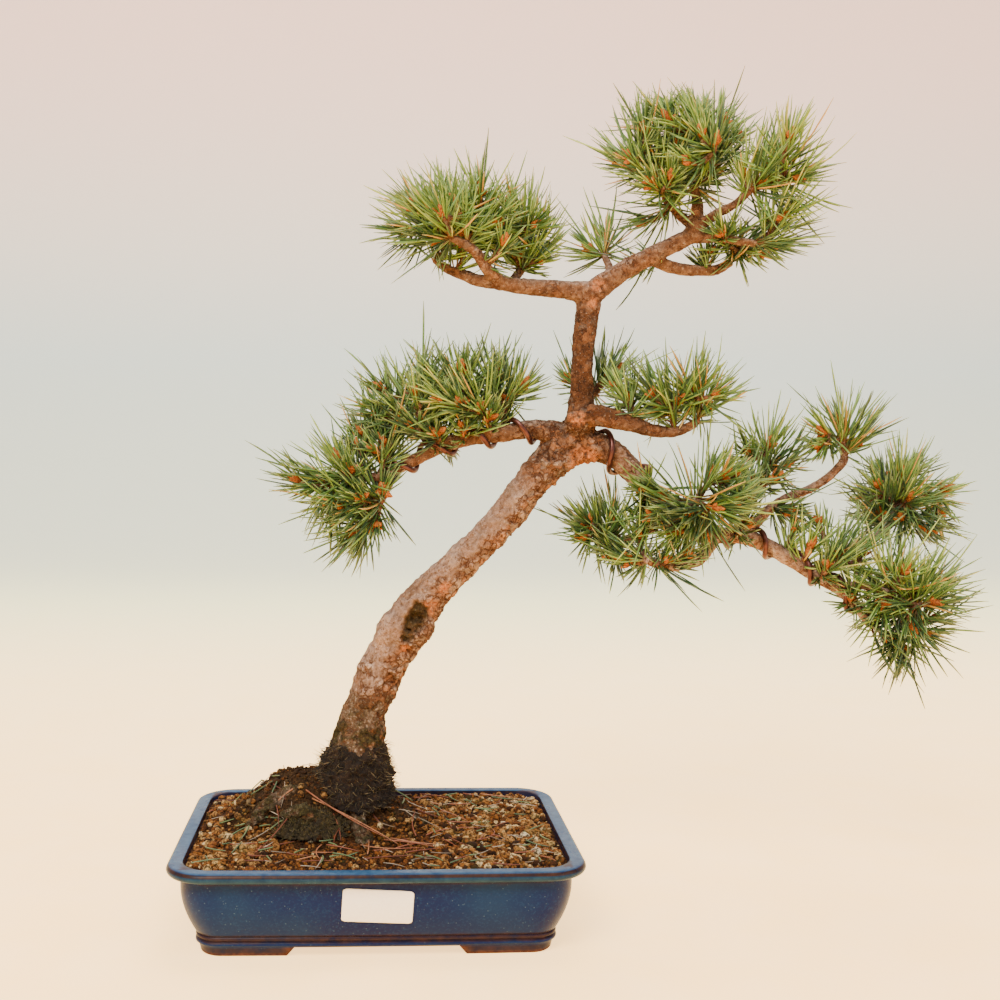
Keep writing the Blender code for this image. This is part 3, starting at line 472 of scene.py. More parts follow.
class Finish:
    """A Principled material made from procedural nodes. Sizes are in millimetres."""

    def __init__(self, name, **constants):
        self.material = bpy.data.materials.new(name)
        self.material.use_nodes = True
        self.nodes = self.material.node_tree.nodes
        self.links = self.material.node_tree.links
        self.shader = self.nodes["Principled BSDF"]
        for socket, value in constants.items():
            self.shader.inputs[SOCKETS.get(socket, socket.title())].default_value = value
        self.place = self.nodes.new("ShaderNodeTexCoord").outputs["Object"]

    def feed(self, socket, value):
        if isinstance(value, bpy.types.NodeSocket):
            self.links.new(value, socket)
        elif socket.type == "RGBA":
            channels = value if isinstance(value, tuple) else (value,) * 3
            socket.default_value = (*channels, 1.0)
        else:
            socket.default_value = value

    def stretched(self, x, y, z):
        mapping = self.nodes.new("ShaderNodeMapping")
        mapping.inputs["Scale"].default_value = (x, y, z)
        self.links.new(self.place, mapping.inputs["Vector"])
        return mapping.outputs["Vector"]

    def noise(self, size, detail=4.0, roughness=0.55, place=None):
        node = self.nodes.new("ShaderNodeTexNoise")
        node.inputs["Scale"].default_value = 1.0 / (size * MM)
        node.inputs["Detail"].default_value = detail
        node.inputs["Roughness"].default_value = roughness
        self.links.new(place or self.place, node.inputs["Vector"])
        return node.outputs["Fac"]

    def cells(self, size, output="Distance", feature="F1", place=None):
        node = self.nodes.new("ShaderNodeTexVoronoi")
        node.feature = feature
        node.inputs["Scale"].default_value = 1.0 / (size * MM)
        self.links.new(place or self.place, node.inputs["Vector"])
        return node.outputs[output]

    def warped(self, size, amount):
        """The place, pushed about by up to amount mm by noise of that size."""
        node = self.nodes.new("ShaderNodeTexNoise")
        node.inputs["Scale"].default_value = 1.0 / (size * MM)
        self.links.new(self.place, node.inputs["Vector"])
        shift = self.nodes.new("ShaderNodeVectorMath")
        shift.operation = "MULTIPLY_ADD"
        shift.inputs[1].default_value = (2 * amount * MM,) * 3
        self.links.new(node.outputs["Color"], shift.inputs[0])
        self.links.new(self.place, shift.inputs[2])
        return shift.outputs["Vector"]

    def attribute(self, name):
        node = self.nodes.new("ShaderNodeAttribute")
        node.attribute_name = name
        return node.outputs["Fac"]

    def range(self, value, low, high, to_low=0.0, to_high=1.0):
        node = self.nodes.new("ShaderNodeMapRange")
        node.interpolation_type = "SMOOTHSTEP"
        self.feed(node.inputs["Value"], value)
        node.inputs["From Min"].default_value = low
        node.inputs["From Max"].default_value = high
        node.inputs["To Min"].default_value = to_low
        node.inputs["To Max"].default_value = to_high
        return node.outputs["Result"]

    def ramp(self, value, *stops):
        node = self.nodes.new("ShaderNodeValToRGB")
        elements = node.color_ramp.elements
        while len(elements) < len(stops):
            elements.new(0.5)
        for element, (position, colour) in zip(elements, stops):
            element.position = position
            element.color = (*colour, 1.0)
        self.feed(node.inputs["Fac"], value)
        return node.outputs["Color"]

    def mix(self, factor, first, second):
        node = self.nodes.new("ShaderNodeMix")
        node.data_type = "RGBA"
        self.feed(node.inputs[0], factor)
        self.feed(node.inputs[6], first)
        self.feed(node.inputs[7], second)
        return node.outputs[2]

    def math(self, operation, first, second=0.0):
        node = self.nodes.new("ShaderNodeMath")
        node.operation = operation
        self.feed(node.inputs[0], first)
        self.feed(node.inputs[1], second)
        return node.outputs[0]

    def colour(self, value):
        self.feed(self.shader.inputs["Base Color"], value)

    def roughness(self, value):
        self.feed(self.shader.inputs["Roughness"], value)

    def bump(self, height, depth, strength=1.0):
        """Raises the surface by up to depth mm where height is 1; bumps add up."""
        node = self.nodes.new("ShaderNodeBump")
        node.inputs["Strength"].default_value = strength
        node.inputs["Distance"].default_value = depth * MM
        self.feed(node.inputs["Height"], height)
        normal = self.shader.inputs["Normal"]
        if normal.is_linked:
            self.links.new(normal.links[0].from_socket, node.inputs["Normal"])
        self.links.new(node.outputs["Normal"], normal)


# ---------------------------------------------------------------------- materials
def glaze():
    """Deep blue glaze with fine light specks, brown where thinly laid on edges and feet; painted shade under
    the lip, a painted teal highlight line on the foot moulding and painted light on the rim's top.
    """
    finish = Finish("speckled_blue_glaze", roughness=0.3, specular_ior_level=0.11)
    clouds = finish.noise(46, detail=2, roughness=0.5)
    body = finish.ramp(
        clouds, (0.30, (0.001, 0.006, 0.052)), (0.50, (0.001, 0.012, 0.064)), (0.72, (0.003, 0.021, 0.074))
    )
    grain = finish.range(finish.noise(1.5, detail=3, roughness=0.7), 0.48, 0.70, 0.0, 0.5)
    body = finish.mix(grain, body, (0.007, 0.036, 0.105))
    specks = finish.range(finish.cells(2.9), 0.06, 0.14, 0.6, 0.0)
    body = finish.mix(specks, body, (0.080, 0.140, 0.180))
    pits = finish.range(finish.cells(13.0), 0.02, 0.04, 0.8, 0.0)
    body = finish.mix(pits, body, (0.012, 0.010, 0.010))
    flow = finish.noise(6, detail=4, roughness=0.65)
    # Teal glaze on the lip's face, and a painted highlight line on the lower moulding over the feet.
    teal = finish.ramp(flow, (0.35, (0.004, 0.026, 0.052)), (0.65, (0.012, 0.050, 0.080)))
    body = finish.mix(finish.attribute("teal"), body, teal)
    # Painted light: the rim's flat top is a lighter blue, as if lit from above.
    lit_rim_colour = finish.ramp(flow, (0.35, (0.012, 0.052, 0.120)), (0.65, (0.040, 0.100, 0.175)))
    body = finish.mix(finish.attribute("rim_top"), body, lit_rim_colour)
    # Brown where the glaze is thinly laid on edges and feet, and painted shade in the undercut below the lip.
    edge = finish.math("MULTIPLY", finish.attribute("thin"), finish.range(flow, 0.25, 0.55, 0.7, 1.0))
    brown = finish.ramp(flow, (0.35, (0.014, 0.007, 0.006)), (0.7, (0.045, 0.019, 0.013)))
    body = finish.mix(edge, body, brown)
    clay = finish.ramp(finish.noise(3), (0.35, (0.045, 0.016, 0.009)), (0.7, (0.12, 0.046, 0.026)))
    finish.colour(finish.mix(finish.attribute("bare"), body, clay))
    rough = finish.range(clouds, 0.3, 0.7, 0.26, 0.38)
    finish.roughness(finish.mix(finish.attribute("bare"), rough, 0.85))
    finish.bump(finish.noise(1.4, detail=2), 0.06, 0.5)
    finish.bump(finish.noise(16, detail=1), 0.35, 0.35)
    return finish.material


def grain_finish():
    """Fired clay, pumice and akadama grains, each its own colour, dirty and pitted."""
    finish = Finish("soil_grains", roughness=0.95, specular_ior_level=0.2)
    own = finish.attribute("grain")
    colour = finish.ramp(
        own, (0.0, (0.012, 0.004, 0.001)), (0.18, (0.055, 0.017, 0.003)), (0.38, (0.180, 0.055, 0.008)),
        (0.56, (0.270, 0.105, 0.020)), (0.74, (0.370, 0.185, 0.055)), (0.90, (0.540, 0.340, 0.125)),
        (1.0, (0.70, 0.56, 0.34))
    )
    dirt = finish.noise(1.7, detail=4, roughness=0.7)
    colour = finish.mix(finish.range(dirt, 0.42, 0.58, 0.0, 0.92), colour, (0.020, 0.007, 0.001))
    algae = finish.range(finish.noise(17, detail=3), 0.54, 0.66, 0.0, 0.45)
    colour = finish.mix(algae, colour, finish.mix(0.6, colour, (0.05, 0.055, 0.008)))
    colour = finish.mix(finish.attribute("humus"), colour, (0.020, 0.010, 0.004))
    finish.colour(colour)
    finish.bump(finish.noise(0.7, detail=4, roughness=0.75), 0.4, 0.9)
    return finish.material


def bed_finish():
    """The fine dark soil between the grains."""
    finish = Finish("fine_soil", roughness=1.0, specular_ior_level=0.15)
    fine = finish.noise(1.8, detail=6, roughness=0.75)
    colour = finish.ramp(
        fine, (0.30, (0.004, 0.002, 0.001)), (0.50, (0.030, 0.011, 0.002)), (0.72, (0.15, 0.055, 0.012))
    )
    colour = finish.mix(finish.attribute("humus"), colour, finish.ramp(
        fine, (0.35, (0.006, 0.004, 0.002)), (0.55, (0.045, 0.022, 0.008)), (0.72, (0.16, 0.085, 0.035))
    ))
    finish.colour(colour)
    finish.bump(fine, 1.6, 1.0)
    finish.bump(finish.cells(2.4), 1.0, 0.9)
    return finish.material


def bark_finish():
    """Scaly pine bark: grey and pinkish with weathering, orange and brown underneath; light and shade are
    painted in as well, lighter on upper sides, darker under the limbs and on the trunk's side away from the
    key light.
    """
    finish = Finish("pine_bark", roughness=0.92, specular_ior_level=0.25)
    plate = finish.attribute("plate")
    flaky = finish.attribute("flaky")
    fine = finish.noise(1.6, detail=5, roughness=0.72)
    broad = finish.noise(9, detail=4, roughness=0.6)
    fresh = finish.ramp(
        plate, (0.0, (0.135, 0.056, 0.026)), (0.35, (0.27, 0.136, 0.077)), (0.65, (0.39, 0.235, 0.150)),
        (1.0, (0.52, 0.370, 0.280))
    )
    weathered = finish.ramp(
        plate, (0.0, (0.20, 0.128, 0.090)), (0.4, (0.31, 0.215, 0.165)), (0.75, (0.41, 0.305, 0.250)),
        (1.0, (0.62, 0.51, 0.44))
    )
    # Grey with weathering, and painted light: the upper sides of the limbs and of the trunk are lighter.
    colour = finish.mix(finish.attribute("weathered"), fresh, weathered)
    blush = finish.range(broad, 0.48, 0.64, 0.0, 0.4)
    colour = finish.mix(blush, colour, finish.mix(0.5, colour, (0.46, 0.220, 0.125)))
    dusk = finish.ramp(
        plate, (0.0, (0.020, 0.007, 0.002)), (0.5, (0.085, 0.030, 0.009)), (1.0, (0.24, 0.110, 0.042))
    )
    # Dark zones, with painted shade on the undersides of the limbs.
    colour = finish.mix(finish.attribute("dark"), colour, dusk)
    grime = finish.ramp(
        fine, (0.36, (0.018, 0.011, 0.005)), (0.52, (0.095, 0.062, 0.034)), (0.68, (0.33, 0.250, 0.180))
    )
    colour = finish.mix(finish.attribute("grimy"), colour, grime)
    specks = finish.range(fine, 0.58, 0.68, 0.0, 0.6)
    colour = finish.mix(specks, colour, finish.mix(0.5, colour, (0.80, 0.66, 0.54)))
    flecks = finish.range(fine, 0.36, 0.47, 0.9, 0.0)
    colour = finish.mix(flecks, colour, finish.mix(0.75, colour, (0.060, 0.022, 0.007)))
    place = finish.warped(3.0, 2.6)
    lines = finish.range(finish.cells(4.6, feature="DISTANCE_TO_EDGE", place=place), 0.02, 0.17, 0.95, 0.0)
    crack_amount = finish.range(finish.mix(0.6, flaky, finish.noise(5, detail=4)), 0.30, 0.52, 0.05, 0.95)
    small_cracks = finish.math("MULTIPLY", lines, crack_amount)
    hairlines = finish.range(finish.cells(2.3, feature="DISTANCE_TO_EDGE", place=place), 0.0, 0.09, 0.65, 0.0)
    hairlines = finish.math("MULTIPLY", hairlines, finish.range(broad, 0.40, 0.56, 0.25, 1.0))
    colour = finish.mix(hairlines, colour, (0.130, 0.052, 0.020))
    colour = finish.mix(small_cracks, colour, (0.070, 0.022, 0.007))
    pores = finish.range(finish.cells(2.7), 0.14, 0.30, 0.75, 0.0)
    pores = finish.math("MULTIPLY", pores, finish.range(broad, 0.38, 0.60, 0.10, 1.0))
    colour = finish.mix(pores, colour, (0.120, 0.055, 0.025))
    own_chip = finish.cells(4.6, "Color", place=place)
    chips = finish.math("MULTIPLY", finish.range(own_chip, 0.62, 0.74, 0.0, 0.45), flaky)
    colour = finish.mix(chips, colour, (0.50, 0.210, 0.090))
    pale_chips = finish.math("MULTIPLY", finish.range(own_chip, 0.22, 0.34, 0.25, 0.0), flaky)
    colour = finish.mix(pale_chips, colour, (0.62, 0.47, 0.36))
    colour = finish.mix(finish.attribute("crack"), colour, (0.048, 0.015, 0.004))
    peach = finish.ramp(fine, (0.35, (0.36, 0.085, 0.022)), (0.65, (0.66, 0.27, 0.10)))
    colour = finish.mix(finish.attribute("peach"), colour, peach)
    moss = finish.ramp(fine, (0.35, (0.008, 0.006, 0.002)), (0.65, (0.060, 0.050, 0.012)))
    colour = finish.mix(finish.attribute("mossy"), colour, moss)
    finish.colour(colour)
    finish.bump(fine, 1.1, 1.0)
    finish.bump(finish.noise(4.0, detail=5, roughness=0.7), 1.8, 0.9)
    finish.bump(finish.math("SUBTRACT", 1.0, small_cracks), 1.0, 0.9)
    finish.bump(finish.math("SUBTRACT", 1.0, pores), 0.5, 0.7)
    return finish.material


def moss_finish(name, dark, mid, light):
    """Crumbly moss in three shades, darker in patches."""
    finish = Finish(name, roughness=1.0)
    fine = finish.noise(2.0, detail=6, roughness=0.75)
    broad = finish.noise(9, detail=3)
    colour = finish.ramp(fine, (0.32, dark), (0.55, mid), (0.75, light))
    finish.colour(finish.mix(finish.range(broad, 0.42, 0.62, 0.0, 0.7), colour, dark))
    finish.bump(fine, 2.4, 1.0)
    return finish.material


def strand_finish(name, *stops, roughness=0.75):
    """Thin dead needles, root hairs and moss strands, each its own shade."""
    finish = Finish(name, roughness=roughness)
    own = finish.ramp(finish.attribute("tint"), *stops)
    finish.colour(finish.mix(finish.range(finish.noise(2.5), 0.4, 0.7, 0.0, 0.5), own, stops[0][1]))
    finish.bump(finish.noise(0.6), 0.1, 0.5)
    return finish.material


def needle_finish():
    """Green needles, darker and cooler at the sheath, lighter towards the tip."""
    finish = Finish("pine_needles", roughness=0.40)
    # The tint holds each needle's own tone and also painted light: lighter high up and where needles point
    # up.
    tint = finish.attribute("tint")
    along = finish.attribute("along")
    young = finish.ramp(
        tint, (0.0, (0.018, 0.050, 0.018)), (0.28, (0.050, 0.115, 0.028)), (0.55, (0.125, 0.235, 0.040)),
        (0.78, (0.250, 0.380, 0.062)), (0.93, (0.420, 0.510, 0.110)), (1.0, (0.58, 0.30, 0.06))
    )
    base = finish.mix(0.4, young, (0.050, 0.075, 0.026))
    colour = finish.mix(finish.range(along, 0.0, 0.35), base, young)
    tip = finish.mix(0.45, young, (0.42, 0.45, 0.15))
    colour = finish.mix(finish.range(along, 0.70, 1.0, 0.0, 0.75), colour, tip)
    sheath = finish.range(along, 0.07, 0.24, 0.95, 0.0)
    colour = finish.mix(sheath, colour, (0.16, 0.052, 0.013))
    bands = finish.noise(5, detail=3)
    colour = finish.mix(finish.range(bands, 0.45, 0.7, 0.0, 0.30), colour, (0.22, 0.30, 0.09))
    finish.colour(colour)
    finish.roughness(finish.range(bands, 0.3, 0.7, 0.32, 0.50))
    finish.bump(finish.noise(0.5, place=finish.stretched(1.0, 1.0, 0.3)), 0.08, 0.6)
    return finish.material


def bud_finish():
    """Papery orange-brown bud scales with paler edges."""
    finish = Finish("bud_scales", roughness=0.8, specular_ior_level=0.25)
    scale = finish.attribute("along")
    colour = finish.ramp(
        scale, (0.0, (0.080, 0.018, 0.003)), (0.55, (0.260, 0.062, 0.008)), (1.0, (0.50, 0.165, 0.030))
    )
    grain = finish.noise(1.0, detail=4)
    finish.colour(finish.mix(finish.range(grain, 0.46, 0.66, 0.0, 0.7), colour, (0.075, 0.022, 0.005)))
    finish.bump(grain, 0.4, 0.8)
    return finish.material


def wire_finish():
    """Annealed aluminium wire, anodised brown, with a satin shine and small scuffs."""
    finish = Finish("anodised_wire", metallic=0.85, roughness=0.36)
    fine = finish.noise(2.2, detail=5, roughness=0.7)
    colour = finish.ramp(fine, (0.30, (0.061, 0.022, 0.017)), (0.60, (0.119, 0.045, 0.035)))
    scuffs = finish.range(finish.noise(6, detail=6, roughness=0.75), 0.62, 0.72, 0.0, 0.6)
    finish.colour(finish.mix(scuffs, colour, (0.259, 0.145, 0.126)))
    finish.roughness(finish.range(fine, 0.3, 0.7, 0.30, 0.46))
    finish.bump(fine, 0.06, 0.5)
    return finish.material


def label_finish():
    """White paper with a thin coat, a little dusty."""
    finish = Finish("label_paper", roughness=0.45, coat_weight=0.2)
    fibres = finish.noise(1.5, detail=4)
    colour = finish.ramp(fibres, (0.3, (0.93, 0.89, 0.84)), (0.7, (0.98, 0.96, 0.92)))
    dust = finish.range(finish.noise(7, detail=5), 0.60, 0.80, 0.0, 0.25)
    finish.colour(finish.mix(dust, colour, (0.60, 0.52, 0.42)))
    finish.bump(fibres, 0.03, 0.4)
    return finish.material


def plastic_finish():
    """Dull dark green plastic mesh."""
    finish = Finish("screen_plastic", roughness=0.55)
    fine = finish.noise(2.5, detail=4)
    finish.colour(finish.ramp(fine, (0.3, (0.030, 0.036, 0.032)), (0.7, (0.075, 0.085, 0.075))))
    finish.bump(fine, 0.08, 0.5)
    return finish.material


def clip_finish():
    """Bright drawn wire."""
    finish = Finish("clip_wire", metallic=1.0, roughness=0.35)
    fine = finish.noise(2.0, detail=5)
    finish.colour(finish.ramp(fine, (0.3, (0.50, 0.49, 0.48)), (0.7, (0.72, 0.71, 0.70))))
    finish.roughness(finish.range(fine, 0.3, 0.7, 0.28, 0.5))
    finish.bump(fine, 0.04, 0.5)
    return finish.material


def floor_finish():
    """Pale paper that glows, with painted light: cream and brightest under the plant, cooler and dimmer
    behind it and a little pink high up.
    """
    finish = Finish("glowing_studio_paper", roughness=0.95, specular_ior_level=0.1)
    split = finish.nodes.new("ShaderNodeSeparateXYZ")
    finish.links.new(finish.place, split.inputs[0])
    back = finish.range(split.outputs["Y"], -0.3, SWEEP_DEPTH, 0.0, 0.5)
    rise = finish.math("ADD", back, finish.range(split.outputs["Z"], 0.1, 1.7, 0.0, 0.5))
    # Painted light: the ramp stands in for the studio light on the paper, warm near the plant, cooler behind
    # it and pink high up.
    colour = finish.ramp(
        rise, (0.0, (1.0, 0.62, 0.24)), (0.12, (0.96, 0.70, 0.33)), (0.30, (0.82, 0.80, 0.46)),
        (0.60, (0.66, 0.73, 0.69)), (1.0, (0.96, 0.69, 0.62))
    )
    fibres = finish.range(finish.noise(60, detail=3), 0.3, 0.7, 0.0, 0.04)
    colour = finish.mix(fibres, colour, (0.9, 0.9, 0.9))
    finish.colour(colour)
    # Painted light: the paper glows in its own colour, strongest at the front.
    finish.feed(finish.shader.inputs["Emission Color"], colour)
    finish.feed(finish.shader.inputs["Emission Strength"], finish.range(rise, 0.0, 0.6, 2.5, 0.68))
    return finish.material


# ---------------------------------------------------------------------- the pot
def pot_outline(inset, z):
    """One ring of the pot, anticlockwise from above, as far in from the rim as inset."""
    half_x = POT_LENGTH / 2 - inset
    half_y = POT_WIDTH / 2 - inset
    radius = RIM_CORNER - CORNER_SHARPENING * inset
    points = []
    for quarter in range(4):
        sign_x = (1, -1, -1, 1)[quarter]
        sign_y = (1, 1, -1, -1)[quarter]
        centre = (sign_x * (half_x - radius), sign_y * (half_y - radius))
        for i in range(CORNER_STEPS + 1):
            angle = math.pi / 2 * (quarter + i / CORNER_STEPS)
            points.append((centre[0] + radius * math.cos(angle), centre[1] + radius * math.sin(angle)))
        steps = SHORT_STEPS if quarter % 2 else LONG_STEPS
        start = points[-1]
        end_x = start[0] if quarter % 2 else -start[0]
        end_y = -start[1] if quarter % 2 else start[1]
        for i in range(1, steps):
            t = i / steps
            points.append((start[0] + (end_x - start[0]) * t, start[1] + (end_y - start[1]) * t))
    reach = half_x - radius
    return [
        (x, y + math.copysign(SIDE_BOW * max(0.0, 1 - (x / reach) ** 2), y), z)
        for x, y in points
    ]


def wall_inset(z):
    """How far the outer wall lies in from the rim at a height between moulding and lip."""
    low = MOULDING_TOP
    high = LIP_LOW - 8.0
    t = min(1.0, max(0.0, (z - low) / (high - low)))
    return RIM_OVERHANG + (BASE_INSET - RIM_OVERHANG) * (1 - t) ** 1.8


def outer_profile():
    """The pot's outside, from the ground to the rim's inner edge: inset and height."""
    foot = FOOT_HEIGHT
    lip = LIP_LOW
    top = POT_HEIGHT
    base = BASE_INSET
    profile = [
        (FOOT_INSET + 0.8, 0.0), (FOOT_INSET, 0.8), (base + 1.6, foot + 0.4),
        (base + 0.1, foot + 1.3), (base + 0.1, foot + 2.8), (base + 1.2, foot + 3.6),
        (base + 0.2, foot + 4.5), (base + 0.2, foot + 5.7), (base + 0.9, foot + 6.5),
    ]
    rise = FLARE_LOW - MOULDING_TOP
    profile += [(wall_inset(z), z) for z in (MOULDING_TOP + rise * i / 9 for i in range(10))]
    profile += [
        (RIM_OVERHANG - 0.9, lip - 0.6), (2.6, lip + 0.1), (0.8, lip + 1.1), (0.0, lip + 3.0),
        (0.6, top - 1.2), (2.4, top), (RIM_FLAT - 0.8, top), (RIM_FLAT, top - 0.8),
    ]
    return profile


def cavity_inset(z):
    """How far the inner wall lies in from the rim's outer edge."""
    flare_high = POT_HEIGHT - 1.0
    if z >= FLARE_LOW:
        t = (z - FLARE_LOW) / (flare_high - FLARE_LOW)
        return (RIM_OVERHANG + POT_WALL) * (1 - t) + RIM_FLAT * t
    return wall_inset(z) + POT_WALL


def rounded(profile):
    """The profile with three points for one, along a smooth curve that stays in its box."""
    stations = [(inset, z, 0.0, 0.0) for inset, z in profile]
    points = [Vector(s) for s in stations]
    points = [points[0]] + points + [points[-1]]
    fine = []
    for before, start, end, after in zip(points, points[1:], points[2:], points[3:]):
        for t in (0.0, 1 / 3, 2 / 3):
            bend = (after - start - end + before) * t * (1 - t) * 0.22
            fine.append(start.lerp(end, t) - bend)
    fine.append(points[-1])
    return [(max(0.0, p[0]), min(POT_HEIGHT, max(0.0, p[1]))) for p in fine]


def loft(rings):
    """Points and faces of a closed body through rings with the same number of points."""
    count = len(rings[0])
    faces = ring_faces(len(rings), count) + end_caps(len(rings), count)
    return [point for ring in rings for point in ring], faces


def cut(obj, points, faces):
    """Cuts a closed shape out of the object."""
    cutter = mesh_piece(f"cutter_{obj.name}", points, faces)
    modifier = obj.modifiers.new("cut", "BOOLEAN")
    modifier.operation = "DIFFERENCE"
    modifier.object = cutter
    apply_modifiers(obj)
    bpy.data.objects.remove(cutter)


def cut_feet(pot):
    """Leaves four slanted corner feet of the pot's base."""
    band = FOOT_INSET + FOOT_BAND
    cut(pot, *loft([pot_outline(band, z) for z in (-PAST, FOOT_HEIGHT)]))
    lean = FOOT_SLANT / FOOT_HEIGHT
    half_x = POT_LENGTH / 2 - FOOT_INSET - FOOT_LENGTH
    half_y = POT_WIDTH / 2 - FOOT_INSET - FOOT_LENGTH_SIDE
    for half_gap, along_y in ((half_x, True), (half_y, False)):
        section = [
            (-half_gap - PAST * lean, -PAST), (half_gap + PAST * lean, -PAST),
            (half_gap - FOOT_SLANT, FOOT_HEIGHT), (-half_gap + FOOT_SLANT, FOOT_HEIGHT),
        ]
        if along_y:
            rings = [[(across, y, z) for across, z in section] for y in (POT_WIDTH, -POT_WIDTH)]
        else:
            rings = [[(x, across, z) for across, z in section] for x in (-POT_LENGTH, POT_LENGTH)]
        cut(pot, *loft(rings))


def cut_drains(pot):
    turn = [math.tau * i / 48 for i in range(48)]
    for side in (-1, 1):
        middle = side * DRAIN_OFFSET
        cut(pot, *loft([
            [(middle + DRAIN_RADIUS * math.cos(a), DRAIN_RADIUS * math.sin(a), z) for a in turn]
            for z in (1.0, FLOOR_TOP + 3)
        ]))


def zone_glaze(pot):
    """Where the glaze is thinly laid and brown, teal, or missing, and where light and shade are painted:
    brown shade under the lip, a teal highlight line on the foot moulding, a lighter blue on the rim's top.
    """
    places = from_frame(vertex_places(pot.data))
    wobble = rough_noise(places, 9.0, 3)
    z = places[:, 2] + 0.35 * wobble
    inside = np.abs(places[:, 1]) < POT_WIDTH / 2 - RIM_FLAT - 0.5
    inside &= np.abs(places[:, 0]) < POT_LENGTH / 2 - RIM_FLAT - 0.5
    thin = stripe(places[:, 2] + 0.1 * wobble, POT_HEIGHT - 2.0, POT_HEIGHT - 0.7, 0.4) * ~inside
    thin = np.maximum(thin, 0.7 * inside * fade(z, POT_HEIGHT - 1.6, POT_HEIGHT - 0.6))
    # Painted shade: a brown band in the undercut below the lip, over the thinly glazed lower edge of the lip.
    thin = np.maximum(thin, 0.55 * stripe(z, LIP_LOW - 2.6, LIP_LOW + 0.1, 0.6) * ~inside)
    thin = np.maximum(thin, 0.85 * stripe(z, FOOT_HEIGHT + 3.0, MOULDING_TOP + 0.4, 0.8))
    thin = np.maximum(thin, 0.80 * stripe(z, -9.0, FOOT_HEIGHT - 1.4, 0.8))
    teal = 0.75 * stripe(z, LIP_LOW + 0.1, POT_HEIGHT - 2.1, 0.8)
    # Painted highlight: a teal line on the lower moulding over the feet.
    teal = np.maximum(teal, 0.9 * stripe(z, FOOT_HEIGHT - 0.6, FOOT_HEIGHT + 2.6, 0.7))
    # Painted light: the rim's flat top, painted lighter as if lit from above.
    rim_top = fade(places[:, 2], POT_HEIGHT - 0.5, POT_HEIGHT - 0.2)
    underneath = (places[:, 2] < FOOT_HEIGHT + 0.2) & (vertex_normals(pot.data)[:, 2] < -0.5)
    bare = np.maximum(fade(-z, -2.0, -1.1), underneath)
    set_attributes(pot.data, thin=thin, teal=teal * ~inside, rim_top=rim_top * ~inside, bare=bare)


def make_pot(finish):
    profile = rounded(outer_profile())
    inner = [FLARE_LOW - (FLARE_LOW - FLOOR_TOP) * i / 6 for i in range(7)]
    profile += [(cavity_inset(z), z) for z in inner]
    pot = mesh_piece("glazed_pot", *loft([pot_outline(inset, z) for inset, z in profile]), finish)
    cut_feet(pot)
    cut_drains(pot)
    zone_glaze(pot)
    belongs(pot, "blue_glaze", "pot")


def front_wall(x, z):
    """Where the pot's front wall lies."""
    reach = POT_LENGTH / 2 - RIM_CORNER
    return -(POT_WIDTH / 2 - wall_inset(z) + SIDE_BOW * (1 - (x / reach) ** 2))


def make_label(finish):
    """The blank sticker on the pot's front, following the wall, one corner a little lifted."""
    half_x, half_z = LABEL_WIDTH / 2, LABEL_HEIGHT / 2
    rows, columns = 28, 44
    points = []
    for depth in (0.25, 0.5):
        for j in range(rows + 1):
            z = half_z * (2 * j / rows - 1)
            past = max(0.0, abs(z) - (half_z - LABEL_CORNER))
            narrow = LABEL_CORNER - math.sqrt(max(0.0, LABEL_CORNER ** 2 - past ** 2))
            for i in range(columns + 1):
                x = (half_x - narrow) * (2 * i / columns - 1)
                turned_x = x * math.cos(LABEL_TILT) - z * math.sin(LABEL_TILT)
                turned_z = LABEL_MIDDLE + x * math.sin(LABEL_TILT) + z * math.cos(LABEL_TILT)
                lift = 0.5 * max(0.0, (x / half_x + z / half_z) / 2 - 0.8) * 5
                crinkle = 0.06 * noise.noise(Vector((x / 7, z / 7, 0.0)))
                points.append((turned_x, front_wall(turned_x, turned_z) - depth - lift - crinkle, turned_z))
    width = columns + 1
    layer = (rows + 1) * width
    faces = []
    for j in range(rows):
        for i in range(columns):
            a = j * width + i
            faces.append((a, a + width, a + width + 1, a + 1))
            faces.append((a + layer, a + layer + 1, a + layer + width + 1, a + layer + width))
        left, right = j * width, j * width + columns
        faces.append((left, left + layer, left + layer + width, left + width))
        faces.append((right, right + width, right + layer + width, right + layer))
    for i in range(columns):
        low, high = i, rows * width + i
        faces.append((low, low + 1, low + layer + 1, low + layer))
        faces.append((high, high + layer, high + layer + 1, high + 1))
    label = mesh_piece("paper_label", points, faces, finish)
    belongs(label, "label_paper", "blank_label")


# ---------------------------------------------------------------------- the soil
def mound(x, y):
    """Height of the root mound above the soil level."""
    dx = x - MOUND_CENTRE[0]
    dy = y - MOUND_CENTRE[1]
    across = dx / (MOUND_LEFT if dx < 0 else MOUND_RIGHT)
    along = dy / (MOUND_FRONT if dy < 0 else MOUND_BACK)
    return MOUND_HEIGHT * math.exp(-((across ** 2 + along ** 2) ** 1.5))


def soil_height(x, y):
    """The soil's surface, with its hollows and lumps."""
    rise = mound(x, y)
    lumps = noise.fractal(Vector((x / 16, y / 16, 3.0)), 1.0, 2.0, 3)
    crumbs = noise.fractal(Vector((x / 4.5, y / 4.5, 7.0)), 1.0, 2.0, 3)
    return SOIL_LEVEL + rise + (0.7 + 0.07 * rise) * lumps + (0.6 + 0.07 * rise) * crumbs - 1.0


def humus_at(x, y):
    """How much dark humus covers the soil: all over the mound, in patches round it."""
    patch = noise.fractal(Vector((x / 13, y / 13, 11.0)), 1.0, 2.0, 3)
    return float(fade(mound(x, y) / MOUND_HEIGHT + 0.22 * patch, 0.10, 0.42))


